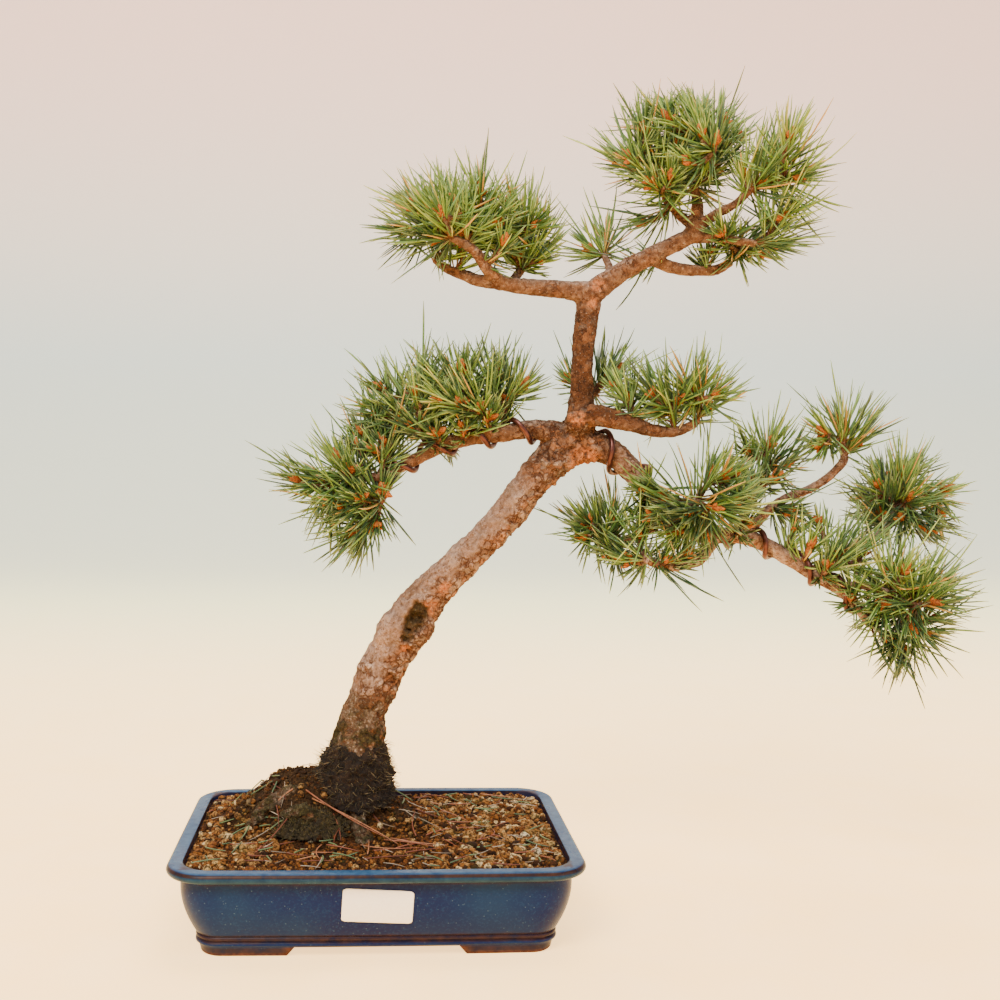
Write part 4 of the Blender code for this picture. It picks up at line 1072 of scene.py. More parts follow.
def make_bed(finish):
    rings = []
    for z in (SOIL_BOTTOM, SOIL_LEVEL - 10.0, SOIL_LEVEL - 3.0):
        rings.append(pot_outline(cavity_inset(z) + SOIL_GAP, z))
    edge = pot_outline(cavity_inset(SOIL_LEVEL) + SOIL_GAP, SOIL_LEVEL)
    for k in range(SOIL_RINGS):
        scale = 1.0 - 0.99 * k / (SOIL_RINGS - 1)
        ring = []
        for x, y, _ in edge:
            x = MOUND_CENTRE[0] + (x - MOUND_CENTRE[0]) * scale
            y = MOUND_CENTRE[1] + (y - MOUND_CENTRE[1]) * scale
            ring.append((x, y, soil_height(x, y)))
        rings.append(ring)
    bed = mesh_piece("soil_bed", *loft(rings), finish)
    places = from_frame(vertex_places(bed.data))
    set_attributes(bed.data, humus=[humus_at(x, y) for x, y, _ in places])
    belongs(bed, "granular_soil", "soil")


def icosphere():
    bm = bmesh.new()
    bmesh.ops.create_icosphere(bm, subdivisions=2, radius=1.0)
    points = np.array([v.co for v in bm.verts])
    faces = np.array([[v.index for v in f.verts] for f in bm.faces])
    bm.free()
    return points, faces


def from_trunk(x, y):
    """How far a place on the soil is from the trunk's middle."""
    return math.hypot(x - TRUNK_FOOT[0], y - TRUNK_FOOT[1])


def inside_rim(x, y, margin):
    """Whether a place lies on the soil, at least margin from the wall."""
    half_x = POT_LENGTH / 2 - RIM_FLAT - 1.5 - margin
    half_y = POT_WIDTH / 2 - RIM_FLAT - 1.5 - margin
    corner = RIM_CORNER - 7.0
    dx = max(0.0, abs(x) - (half_x - corner))
    dy = max(0.0, abs(y) - (half_y - corner))
    return math.hypot(dx, dy) < corner


def make_grains(finish):
    """Loose grains of every size and colour, thick on the flat and thin on the mound."""
    shape, shape_faces = icosphere()
    chance = random.Random(4)
    for part in range(GRAIN_PIECES):
        points, faces, grain, humus, corners = [], [], [], [], []
        side = math.ceil(math.sqrt(GRAINS / GRAIN_PIECES))
        number = 0
        while number < GRAINS // GRAIN_PIECES:
            x = chance.uniform(-POT_LENGTH / 2, POT_LENGTH / 2)
            y = chance.uniform(-POT_WIDTH / 2, POT_WIDTH / 2)
            middle = float(stripe(x + 6 * noise.noise(Vector((x / 15, y / 15, 0.0))), -52.0, 26.0, 22.0))
            size = min(3.4, chance.lognormvariate(0.22 - 0.34 * middle, 0.45))
            if not inside_rim(x, y, size * 0.8) or from_trunk(x, y) < 20:
                continue
            dark = humus_at(x, y)
            size *= 1 - 0.2 * dark
            stretch = Matrix.Diagonal((
                chance.uniform(0.75, 1.2), chance.uniform(0.75, 1.2), chance.uniform(0.6, 0.95)
            ))
            turn = Matrix.Rotation(chance.uniform(0, math.tau), 3, "Z")
            turn @= Matrix.Rotation(chance.uniform(-0.5, 0.5), 3, "X")
            seed = Vector((chance.uniform(0, 99), chance.uniform(0, 99), 0))
            knobbly = np.array([1 + 0.42 * noise.noise(Vector(p) * 1.15 + seed) for p in shape])
            body = (shape * knobbly[:, None]) @ np.array(turn @ stretch).T * size
            height = soil_height(x, y) + size * chance.uniform(0.15, 0.55)
            start = len(points) * len(shape)
            points.append(body + (x, y, height))
            faces.append(shape_faces + start)
            own = chance.gauss(0.40 + 0.06 * min(size, 2.5) - 0.10 * middle, 0.28 - 0.08 * middle)
            own = 1.0 if chance.random() < 0.006 else min(0.93, max(0.0, own))
            grain += [own] * len(shape)
            humus += [dark * chance.uniform(0.1, 1.0)] * len(shape)
            cell = Vector((number % side, number // side)) / side
            top = shape[shape_faces].mean(axis=1)[:, 2] > 0
            flat = shape[shape_faces][:, :, :2] * 0.22 + 0.25
            flat[:, :, 0] += np.where(top, 0.0, 0.5)[:, None]
            corners.append(flat * (1 / side) * 0.98 + np.array(cell))
            number += 1
        piece = mesh_piece(
            f"soil_grains_{part + 1}", np.concatenate(points), np.concatenate(faces), finish
        )
        set_attributes(piece.data, grain=grain, humus=humus)
        layer = piece.data.uv_layers.new(name="OFBake")
        layer.data.foreach_set("uv", np.concatenate(corners).astype(np.float32).ravel())
        belongs(piece, "granular_soil", "soil")


# ---------------------------------------------------------------------- the tree
def limb_paths():
    return {
        name: smooth_path(lifted(stations), LIMB_STEP)
        for name, stations in {"trunk": TRUNK, **LIMBS, **ROOTS}.items()
    }


def path_index(paths):
    """A search tree over all the limbs' points, with each point's limb, tangent and radius."""
    centres, names, along, radii = [], [], [], []
    for name, path in paths.items():
        places = [Vector(point[:3]) for point in path]
        centres += places
        names += [name] * len(path)
        along += tangents(places)
        radii += [point[3] for point in path]
    return search_tree(centres), names, along, radii


def plates(places, along, radii):
    """The bark's plates: a number for each plate, and how near each point is to a crack."""
    number, crack = [], []
    for place, tangent, radius in zip(places, along, radii):
        point = Vector(place)
        point = point - tangent * point.dot(tangent) * 0.42
        size = 4.6 + 0.16 * radius
        wobble = noise.noise_vector(point / 6.0) * 1.6
        distances, centres = noise.voronoi((point + wobble) / size)
        number.append(noise.cell(centres[0] * 7.31))
        crack.append(distances[1] - distances[0])
    return np.array(number), np.array(crack)


def grow_skin(paths, finish):
    """Trunk, branches and roots as one smooth skin."""
    parts = [tube(path, 20 if name == "trunk" else 14) for name, path in paths.items()]
    tree = mesh_piece("bark_skin", *join_parts(parts), finish)
    remesh = tree.modifiers.new("one_skin", "REMESH")
    remesh.mode = "VOXEL"
    remesh.voxel_size = BARK_VOXEL * MM
    smooth = tree.modifiers.new("soften", "SMOOTH")
    smooth.factor = 0.5
    smooth.iterations = 4
    apply_modifiers(tree)
    tree.data.shade_smooth()
    return tree


def add_marks(push, places, lumps, fine):
    """The relief with its flakes, scars and knot hollow, and where it is peach or hollow."""
    peach = np.zeros(len(places))
    hollow = np.zeros(len(places))
    for x, y, z, reach, sink, kind in BARK_MARKS:
        away = np.linalg.norm(places - (x, y, SOIL_LEVEL + z), axis=1) + 1.6 * lumps + 0.7 * fine
        near = 1 - fade(away, reach * (0.82 if kind == "hollow" else 0.45), reach)
        push -= sink * near
        if kind == "peach":
            peach = np.maximum(peach, near * fade(fine, -0.5, 0.3))
        elif kind == "hollow":
            hollow = np.maximum(hollow, near)
            rim = fade(away, reach * 0.8, reach * 1.1) * (1 - fade(away, reach * 1.2, reach * 1.6))
            push += 1.5 * rim
    return push, peach, hollow


def make_tree(paths, index, finish):
    """The skin with its plates, cracks and marks, and with zones for its colours and for its painted light
    and shade.
    """
    tree = grow_skin(paths, finish)
    search, all_names, all_along, all_radii = index
    places = from_frame(vertex_places(tree.data))
    normals = vertex_normals(tree.data)
    nearest = [search.find(Vector(p))[1] for p in places]
    names = [all_names[i] for i in nearest]
    along = [all_along[i] for i in nearest]
    radii = np.array([all_radii[i] for i in nearest])

    number, gap = plates(places, along, radii)
    height = places[:, 2] - SOIL_LEVEL
    thick = fade(radii, 3.0, 11.0)
    lumps = rough_noise(places, 11.0, 3, 1.0)
    knots = rough_noise(places, 5.5, 2, 4.0)
    fine = rough_noise(places, 2.6, 3, 2.0)
    on_trunk = fade(-height, -238.0, -215.0)
    # Partly painted shade: the flaky, fresh orange bark goes on the side facing down and to the right, away
    # from the key light, which makes that side darker; the flakes and their orange are real.
    side_away_from_light = normals @ np.array([0.70, -0.05, -0.45])
    low = fade(-height, -118.0, -92.0)
    flaky = fade(side_away_from_light + 0.55 * lumps, -0.25, 0.60) * on_trunk
    flaky = np.maximum(flaky, 0.75 * low * fade(lumps, -0.3, 0.4))
    flaky = np.maximum(flaky, 0.55 * (1 - on_trunk) * fade(lumps, -0.3, 0.4))
    fork = 1 - fade(np.linalg.norm(places - FORK, axis=1) + 6 * lumps, 18.0, 34.0)
    flaky = np.maximum(flaky, 0.85 * fork)
    crack = (1 - fade(gap, 0.02, 0.14)) * (0.04 + 0.60 * flaky) * (0.30 + 0.60 * np.maximum(low, fork))
    depth = 0.12 + 0.12 * thick + (0.65 + 0.75 * np.maximum(low, fork)) * flaky * (0.4 + 0.6 * thick)
    push = depth * (0.60 * fade(gap, 0.0, 0.15) + 0.75 * (number - 0.5) - 0.35)
    push += (0.30 + 0.50 * thick) * lumps + (0.22 + 0.40 * thick) * fine + (0.15 + 0.35 * thick) * knots
    push += fade(-height, -34.0, -26.0) * (1.3 * lumps + 0.9 * fine)
    root = np.array([name.startswith("root") for name in names])
    ridges = 1 - np.abs(rough_noise(places * (0.45, 0.45, 1.0), 3.2, 3, 6.0))
    push += root * (1.5 * lumps + 1.3 * (ridges - 0.7) + 0.8 * knots)
    push, peach, hollow = add_marks(push, places, lumps, fine)
    push = np.where(height < -2, 0.0, push)
    set_places(tree.data, to_frame(places + normals * push[:, None]))

    limb = (1 - on_trunk) * ~root
    weathered = np.clip((1 - 0.8 * flaky) * (0.75 + 0.4 * lumps), 0, 1) * on_trunk
    # Painted light and shade on the limbs: upper sides lighter and grey, undersides darker, as if lit from
    # above.
    lit_upper_side = fade(normals[:, 2] + 0.5 * lumps, 0.0, 0.8)
    weathered = np.maximum(weathered, (0.20 + 0.60 * lit_upper_side) * limb)
    leader = fade(height, 244.0, 258.0) * fade(-height, -336.0, -318.0) * fade(places[:, 0], 100.0, 112.0)
    weathered = np.maximum(weathered, 0.75 * fork * fade(knots, -0.2, 0.5))
    dark = np.maximum(leader * limb, 0.45 * fork)
    # Painted shade: the limbs' undersides are darker.
    dark = np.maximum(dark, limb * (0.62 - 0.42 * lit_upper_side))
    mossy = fade(-height, -90.0, -60.0) * fade(lumps + 0.8 * fine, -0.3, 0.4)
    mossy = np.maximum(mossy, fade(-height, -44.0, -30.0) * (1 - 0.75 * root))
    mossy = np.maximum(mossy, root * fade(lumps + fine, 0.1, 0.7))
    grimy = np.maximum(fade(-height - 7 * lumps, -90.0, -82.0), 0.8 * root)
    grimy = np.maximum(grimy, 0.35 * fork * fade(lumps, -0.2, 0.4))
    set_attributes(
        tree.data,
        plate=np.clip(0.5 + (number - 0.5) * (0.20 + 0.35 * flaky) + 0.45 * fine, 0, 1),
        crack=np.clip(crack, 0, 0.9),
        flaky=flaky,
        weathered=weathered * (1 - 0.7 * dark),
        dark=np.clip(np.maximum(dark, hollow), 0, 1),
        grimy=np.clip(0.9 * grimy, 0, 1),
        peach=peach * (1 - hollow),
        mossy=np.clip(np.maximum(0.9 * mossy, 0.60 * hollow), 0, 1),
    )
    belongs(tree, "bark", "trunk_and_branches")


def coil(stations, start, end, pitch, phase):
    """The wire's turns round a limb, from one distance along it to another."""
    fine = smooth_path(lifted(stations), 2.0)
    centres = [Vector(point[:3]) for point in fine]
    along = tangents(centres)
    distance = np.concatenate([[0.0], np.cumsum([(b - a).length for a, b in zip(centres, centres[1:])])])
    turns = []
    count = max(2, round(abs(end - start) / pitch * 30))
    for k in range(count + 1):
        s = start + (end - start) * k / count
        i = min(int(np.searchsorted(distance, s, side="right")) - 1, len(centres) - 2)
        t = float((s - distance[i]) / (distance[i + 1] - distance[i]))
        centre = centres[i].lerp(centres[i + 1], t)
        radius = fine[i][3] + (fine[i + 1][3] - fine[i][3]) * t
        tangent = along[i].lerp(along[i + 1], t).normalized()
        up = Vector((0, 0, 1))
        up = (up - tangent * up.dot(tangent)).normalized()
        other = tangent.cross(up)
        uneven = 0.16 * noise.noise(Vector((s / 21.0, pitch, 0.0)))
        angle = phase + math.tau * (s / pitch + uneven)
        out = radius + WIRE_RADIUS + 0.25
        turns.append((*(centre + out * (up * math.cos(angle) + other * math.sin(angle))), WIRE_RADIUS))
    return turns


def make_wire(finish):
    """One wire: round the left branch, behind the trunk and round the right branch."""
    left = coil(LIMBS["left_branch"], 128.0, 15.0, 26.0, math.radians(200))
    right = coil(LIMBS["right_branch"], 19.0, 228.0, 30.0, math.radians(130))
    behind = [(107, 15, 252, WIRE_RADIUS), (119, 17, 244, WIRE_RADIUS), (130, 14, 246, WIRE_RADIUS)]
    path = left[:-1] + smooth_path([left[-1]] + lifted(behind) + [right[0]], 1.5)[1:-1] + right
    wire = mesh_piece("wound_wire", *tube(path, 16, tip=0.02), finish)
    belongs(wire, "brown_wire", "training_wire")


# ---------------------------------------------------------------------- moss
def strands(name, bases, directions, lengths, width, finish, tints, bend=0.35, seed=1):
    """Short thin blades, each a bent triangle strip with a closed section."""
    chance = random.Random(seed)
    points, faces, tint = [], [], []
    steps = 3
    for base, direction, length, shade in zip(bases, directions, lengths, tints):
        direction = Vector(direction).normalized()
        side = direction.cross(scatter_vector(chance)).normalized()
        other = direction.cross(side)
        lean = chance.uniform(-bend, bend)
        drop = chance.uniform(-bend, bend) * 0.5
        start = len(points)
        for k in range(steps + 1):
            t = k / steps
            centre = Vector(base) + direction * length * t + (side * lean + other * drop) * length * t * t
            half = width / 2 * (1 - 0.75 * t)
            for turn in range(3):
                a = math.tau * turn / 3
                points.append(centre + half * (side * math.cos(a) + other * math.sin(a)))
        faces += ring_faces(steps + 1, 3, start) + end_caps(steps + 1, 3, start)
        tint += [shade] * (3 * steps + 3)
    piece = mesh_piece(name, points, faces, finish)
    set_attributes(piece.data, tint=tint)
    return piece


def collar_swell(places, broad):
    """Thin and ragged at the top, where bark shows through, and spread out at the bottom."""
    axis = [Vector(point[:3]) for point in smooth_path(lifted(TRUNK), 2.0)]
    search = search_tree(axis)
    outward = np.array([Vector(p) - search.find(Vector(p))[0] for p in places])
    outward /= np.linalg.norm(outward, axis=1)[:, None]
    height = places[:, 2] - SOIL_LEVEL
    swell = 3.6 * fade(-height, -28.0, -8.0) + 0.9 - 1.6 * fade(height, 30.0, 46.0)
    swell -= 5.5 * fade(height + 8.0 * broad, 46.0, 56.0)
    return outward * swell[:, None]


def mat_swell(places, broad):
    """Swollen where the noise is high and sunk in the soil where it is low."""
    return np.outer(2.6 * broad - 0.9, (0.0, 0.0, 1.0))


def make_moss(node, name, slot, finish, hair_finish, hairs, swell, rough, seed):
    """A CAD moss solid as a crumbly mat, swollen by a rule, with hairs that stand out of it."""
    mat = link_mesh(name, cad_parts[node].data.copy())
    mat.data.materials.clear()
    mat.data.materials.append(finish)
    remesh = mat.modifiers.new("crumbly", "REMESH")
    remesh.mode = "VOXEL"
    remesh.voxel_size = MOSS_VOXEL * MM
    soften = mat.modifiers.new("soften", "SMOOTH")
    soften.iterations = 2
    apply_modifiers(mat)
    mat.data.shade_smooth()
    places = from_frame(vertex_places(mat.data))
    normals = vertex_normals(mat.data)
    broad = rough_noise(places, 9.0, 3, seed + 1)
    push = rough * (rough_noise(places, 3.2, 4, seed) + 1.0 * broad)
    places = places + normals * push[:, None] + swell(places, broad)
    set_places(mat.data, to_frame(places))
    belongs(mat, slot, node)
    chance = random.Random(seed)
    outward = [i for i in range(len(places)) if normals[i, 2] > -0.5]
    picked = [chance.choice(outward) for _ in range(hairs)]
    directions = [normals[i] + [chance.gauss(0, 0.5) for _ in range(3)] for i in picked]
    lengths = [chance.triangular(1.2, 7.5, 2.2) for _ in picked]
    hair = strands(
        f"{name}_hairs", places[picked], directions, lengths, 0.5, hair_finish,
        [chance.random() for _ in picked], 0.6, seed
    )
    belongs(hair, slot, node)


def lying_strand(start, end, radius, bow, chance):
    """A thin rod that lies over the ground from one place to another, with its radius."""
    (x0, y0), (x1, y1) = start, end
    steps = 8
    across = Vector((y0 - y1, x1 - x0)).normalized()
    ground, places = [], []
    for k in range(steps + 1):
        t = k / steps
        aside = bow * 4 * t * (1 - t)
        x = x0 + (x1 - x0) * t + across.x * aside
        y = y0 + (y1 - y0) * t + across.y * aside
        places.append((x, y))
        ground.append(soil_height(x, y) + 2.0)
    first = ground[0] + chance.uniform(0, 1.5)
    last = ground[-1] + chance.uniform(0, 2.5)
    path = []
    for k, ((x, y), low) in enumerate(zip(places, ground)):
        t = k / steps
        straight = first + (last - first) * t
        path.append((x, y, max(straight, low * 0.6 + straight * 0.4), radius * (1 - 0.6 * t ** 3)))
    return path


LITTER_BY_HAND = [
    ((-40, -10), (12, -36), 2.0), ((-44, -6), (6, -30), -3.0), ((4, -30), (34, -40), 1.5),
    ((8, -26), (42, -36), -2.0), ((-52, -14), (-68, -40), 1.0), ((-2, -46), (26, -42), 1.0),
    ((-8, -62), (22, -58), 1.0), ((30, -18), (64, -8), 6.0), ((60, -30), (72, -6), -5.0),
    ((-10, -34), (14, -46), -2.0), ((10, -44), (28, -32), 2.0), ((16, -52), (36, -44), 1.0),
]


def scatter_litter(dead_finish, green_finish, hair_finish):
    """Fallen needles and fine roots on the soil."""
    chance = random.Random(12)

    def scattered(count, low, high):
        routes = []
        while len(routes) < count:
            x = chance.uniform(-POT_LENGTH / 2, POT_LENGTH / 2)
            y = chance.uniform(-POT_WIDTH / 2, POT_WIDTH / 2)
            length = chance.uniform(low, high)
            angle = chance.gauss(-0.5, 0.9)
            end = (x + length * math.cos(angle), y + length * math.sin(angle))
            if not inside_rim(x, y, 2) or not inside_rim(*end, 2):
                continue
            if min(from_trunk(x, y), from_trunk(*end)) > 24:
                routes.append(((x, y), end, chance.uniform(-0.12, 0.12) * length))
        return routes

    kinds = (
        ("fallen_needles_brown", LITTER_BY_HAND + scattered(46, 8, 24), 0.42, dead_finish, "needles"),
        ("fallen_needles_green", scattered(74, 5, 17), 0.45, green_finish, "needles"),
        ("fine_roots", scattered(80, 5, 16), 0.28, hair_finish, "bark"),
    )
    for name, routes, radius, finish, slot in kinds:
        parts, tint = [], []
        for start, end, bow in routes:
            part = tube(lying_strand(start, end, radius, bow, chance), 5)
            parts.append(part)
            tint += [chance.random()] * len(part[0])
        piece = mesh_piece(name, *join_parts(parts), finish)
        set_attributes(piece.data, tint=tint)
        belongs(piece, slot)


# ---------------------------------------------------------------------- needles
# Along the axes and towards the corners of a cube.
WAYS_OUT = [
    Vector(way).normalized() for way in product((-1, 0, 1), repeat=3) if sum(map(abs, way)) in (1, 3)
]


class Cushion:
    """The room that one pad of needles takes, from its CAD solid."""

    def __init__(self, node):
        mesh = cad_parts[node].data
        self.points = from_frame(vertex_places(mesh))
        triangles = [tuple(p.vertices) for p in mesh.polygons]
        self.tree = BVHTree.FromPolygons([Vector(p) for p in self.points], triangles)
        self.low = self.points.min(axis=0)
        self.high = self.points.max(axis=0)
        self.middle = Vector((self.low + self.high) / 2)

    def hits(self, place, direction):
        """Distances at which a ray leaves or enters the solid."""
        distances = []
        start = 0.0
        while len(distances) < 12:
            hit = self.tree.ray_cast(place + direction * (start + 0.01), direction)
            if hit[0] is None:
                break
            start += hit[3] + 0.01
            distances.append(start)
        return distances

    def contains(self, place):
        return len(self.hits(place, Vector((0.13, 0.21, 0.97)).normalized())) % 2 == 1

    def reach(self, place, direction):
        """How far it is to the outside, past the rooms for the limbs."""
        distances = self.hits(place, direction)
        return distances[-1] if distances else 0.0

    def depth(self, place):
        """The shortest way out."""
        return min(self.reach(place, way) for way in WAYS_OUT)


def place_shoots(node, cushion, chance):
    """Where the shoots of a cushion end: the leading ones, then others spread between them."""
    tips = [Vector((x, y, SOIL_LEVEL + z)) for x, y, z in LEADING_SHOOTS[node]]
    size = cushion.high - cushion.low
    inside = []
    tries = 900
    for _ in range(tries):
        place = Vector(cushion.low + np.array([chance.random() for _ in range(3)]) * size)
        if cushion.contains(place):
            inside.append(place)
    volume = float(np.prod(size)) * len(inside) / tries
    wanted = max(len(tips), round(volume / SHOOT_VOLUME))
    ranked = [(place, cushion.depth(place)) for place in inside]
    ranked = [place for place, depth in ranked if 7.0 < depth < 26.0]
    while ranked and len(tips) < wanted:
        best = max(ranked, key=lambda place: min((place - tip).length for tip in tips))
        if min((best - tip).length for tip in tips) < SHOOT_SPACING * 0.6:
            break
        tips.append(best)
    return tips


def grow_stems(tips, middle, index, chance):
    """A twig to each tip, from the nearest limb or from a twig already grown."""
    search, _, along, _ = index
    joints = []
    order = sorted(tips, key=lambda tip: search.find(tip)[2])
    stems = []
    for tip in order:
        anchor, limb, _ = search.find(tip - Vector((0, 0, 6)))
        best = (anchor - tip).length
        for joint in joints:
            away = (joint - tip).length * 1.1
            if 9.0 < away < best:
                best = away
                anchor = joint
        span = (tip - anchor).length
        heading = 0.8 * (tip - anchor).normalized() + 0.4 * along[limb] + Vector((0, 0, 0.45))
        heading += 0.5 * (tip - middle).normalized()
        heading += scatter_vector(chance, 0.25)
        heading.normalize()
        bend = tip - heading * span * 0.5
        path = []
        count = max(4, round(span / 4))
        thick = 1.5 + 0.016 * span
        for k in range(count + 1):
            t = k / count
            place = anchor * (1 - t) ** 2 + bend * 2 * t * (1 - t) + tip * t * t
            path.append((*place, thick * (1 - t) + 1.6 * t))
        stems.append((path, heading))
        joints += [Vector(p[:3]) for p in path[count // 3:-1:2]]
    return stems


def along_stem(path, back):
    """The place and direction on a stem at a distance back from its tip."""
    for k in range(len(path) - 1, 0, -1):
        end, start = Vector(path[k][:3]), Vector(path[k - 1][:3])
        length = (end - start).length
        if back <= length or k == 1:
            t = min(1.0, back / max(length, 1e-6))
            return end.lerp(start, t), (end - start).normalized()
        back -= length


LIMIT_LOW = from_frame([cad_box[0]])[0] - 2.0
LIMIT_HIGH = from_frame([cad_box[1]])[0] + 2.0


def fit_needle(base, own, axis, natural, cushion, chance):
    """One needle's bend, and its length in the room of its cushion and of the whole part."""
    room = cushion.reach(base, own) + chance.triangular(-3, 17, 2)
    if chance.random() < STRAY_SHARE:
        room = natural
    run = max(16.0, min(natural, room))
    curve = axis * chance.uniform(0.05, 0.24) + Vector((0, 0, chance.uniform(-0.04, 0.12)))
    curve += scatter_vector(chance, 0.07)
    for _ in range(12):
        end = base + own * run + curve * run
        if all(LIMIT_LOW[i] < end[i] < LIMIT_HIGH[i] for i in range(3)):
            break
        run *= 0.9
    return curve, run


def needle_run(stems, cushion, chance):
    """Base, direction, bend, length, twist and tint of every needle."""
    runs = []
    for path, heading in stems:
        length = sum((Vector(b[:3]) - Vector(a[:3])).length for a, b in zip(path, path[1:]))
        leafy = min(30.0, 0.95 * length + 6.0)
        # Painted light and shade: shoots high in their cushion, and cushions high in the crown, get a lighter
        # tint, lower ones a darker tint.
        level = (path[-1][2] - cushion.low[2]) / (cushion.high[2] - cushion.low[2])
        lit = fade(cushion.middle[2], 385.0, 440.0)
        shoot_tint = chance.gauss(0.20 + 0.10 * lit + 0.26 * level, 0.12)
        shoot_scale = chance.uniform(0.84, 1.08)
        pairs = round(NEEDLE_PAIRS * chance.uniform(0.8, 1.2))
        for pair in range(pairs):
            back = leafy * ((pair + chance.random()) / pairs) ** 1.15
            base, axis = along_stem(path, min(back, length * 0.98))
            if back < 4:
                axis = heading
            spread = math.radians(20 + 40 * (back / leafy) + chance.gauss(0, 9))
            around = pair * math.radians(137.5) + chance.gauss(0, 0.25)
            side = axis.orthogonal().normalized()
            side = Matrix.Rotation(around, 3, axis) @ side
            direction = (axis * math.cos(spread) + side * math.sin(spread)).normalized()
            for twin in (-1, 1):
                fork = direction.cross(axis).normalized() * 0.075 * twin
                own = (direction + fork + scatter_vector(chance, 0.03)).normalized()
                natural = NEEDLE_LENGTH * shoot_scale * chance.gauss(1.0, 0.08)
                curve, run = fit_needle(base, own, axis, natural, cushion, chance)
                # Painted light: needles that point up are lighter.
                tint = min(0.95, max(0.0, shoot_tint + 0.10 * own.z + chance.gauss(0, 0.20)))
                if chance.random() < 0.03:
                    tint = 1.0
                runs.append((*base, *own, *curve, run, chance.uniform(0, math.tau), tint))
    return np.array(runs)


def needle_mesh(name, runs, finish):
    """Every needle as a bent, tapering, half-round blade."""
    steps = np.array([0.0, 0.12, 0.35, 0.6, 0.82, 1.0])
    girth = np.array([0.60, 0.95, 1.0, 1.0, 0.90, 0.22])
    count, rings = len(runs), len(steps)
    base, direction, curve = runs[:, 0:3], runs[:, 3:6], runs[:, 6:9]
    length, twist, tint = runs[:, 9], runs[:, 10], runs[:, 11]
    side = np.cross(direction, np.array([0.31, 0.23, 0.92]))
    side /= np.linalg.norm(side, axis=1)[:, None]
    other = np.cross(direction, side)
    t = steps[None, :, None]
    reach = length[:, None, None]
    centre = base[:, None] + direction[:, None] * reach * t + curve[:, None] * reach * t ** 2
    half = NEEDLE_WIDTH / 2
    section = np.array([(-half, 0.0), (half, 0.0), (0.0, half * 1.1)])
    angle = twist[:, None] + steps[None, :] * 1.2
    cos, sin = np.cos(angle)[:, :, None, None], np.sin(angle)[:, :, None, None]
    u, v = section[None, None, :, 0:1], section[None, None, :, 1:2]
    across = (u * cos - v * sin) * side[:, None, None] + (u * sin + v * cos) * other[:, None, None]
    points = centre[:, :, None] + across * girth[None, :, None, None]
    points = points.reshape(-1, 3)
    start = (np.arange(count) * rings * 3)[:, None, None]
    faces = (np.array(ring_faces(rings, 3))[None] + start).reshape(-1, 4)
    caps = (np.array(end_caps(rings, 3))[None] + start).reshape(-1, 3)
    piece = mesh_piece(name, points, faces.tolist() + caps.tolist(), finish)
    set_attributes(
        piece.data, tint=np.repeat(tint, rings * 3), along=np.tile(np.repeat(steps, 3), count)
    )
    strip_map(piece.data, count, rings)
    return piece


def strip_map(mesh, count, rings):
    """A texture map in which each needle has its own small rectangle."""
    columns = max(1, round(math.sqrt(count * 4)))
    rows = math.ceil(count / columns)
    cell = np.arange(count)
    corner = np.stack([(cell % columns) / columns, (cell // columns) / rows], axis=1)
    shape = np.array([0.9 / columns, 0.9 / rows])
    quads = []
    for r in range(rings - 1):
        for k in range(3):
            low, high = 0.04 + 0.88 * r / (rings - 1), 0.04 + 0.88 * (r + 1) / (rings - 1)
            left, right = k / 3, (k + 1) / 3
            quads.append([(left, low), (right, low), (right, high), (left, high)])
    quads = np.array(quads)[None] * shape + corner[:, None, None]
    ends = np.array([
        [(0.0, 0.0), (0.3, 0.0), (0.15, 0.03)], [(0.0, 0.95), (0.3, 0.95), (0.15, 0.98)],
    ])
    ends = ends[None] * shape + corner[:, None, None]
    flat = np.concatenate([quads.reshape(-1, 2), ends.reshape(-1, 2)])
    layer = mesh.uv_layers.new(name="OFBake")
    layer.data.foreach_set("uv", flat.astype(np.float32).ravel())


def bud(tip, heading, length, radius, chance):
    """A pointed bud with overlapping scales."""
    side = heading.orthogonal().normalized()
    other = heading.cross(side)
    points, along = [], []
    rings, sides = 9, 10
    for r in range(rings):
        t = r / (rings - 1)
        girth = math.sin(math.pi * (0.16 + 0.80 * t)) ** 0.9
        for k in range(sides):
            scale = 0.86 + 0.24 * ((r + (k % 2)) % 2) + chance.uniform(-0.06, 0.06)
            a = math.tau * (k + 0.5 * (r % 2)) / sides
            out = radius * girth * scale
            across = out * (side * math.cos(a) + other * math.sin(a))
            points.append(tip + heading * (length * (t - 0.12)) + across)
            along.append(min(1.0, 0.25 + 0.5 * t + 0.35 * ((r + (k % 2)) % 2)))
    return points, ring_faces(rings, sides) + end_caps(rings, sides), along


def make_cushion(node, index, finish, chance):
    """The needles of one pad; its twigs and buds are handed back to be joined with the rest."""
    cushion = Cushion(node)
    tips = place_shoots(node, cushion, chance)
    stems = grow_stems(tips, cushion.middle, index, chance)
    piece = needle_mesh(node.replace("needles_", "sprays_"), needle_run(stems, cushion, chance), finish)
    belongs(piece, "needles", node)
    return stems


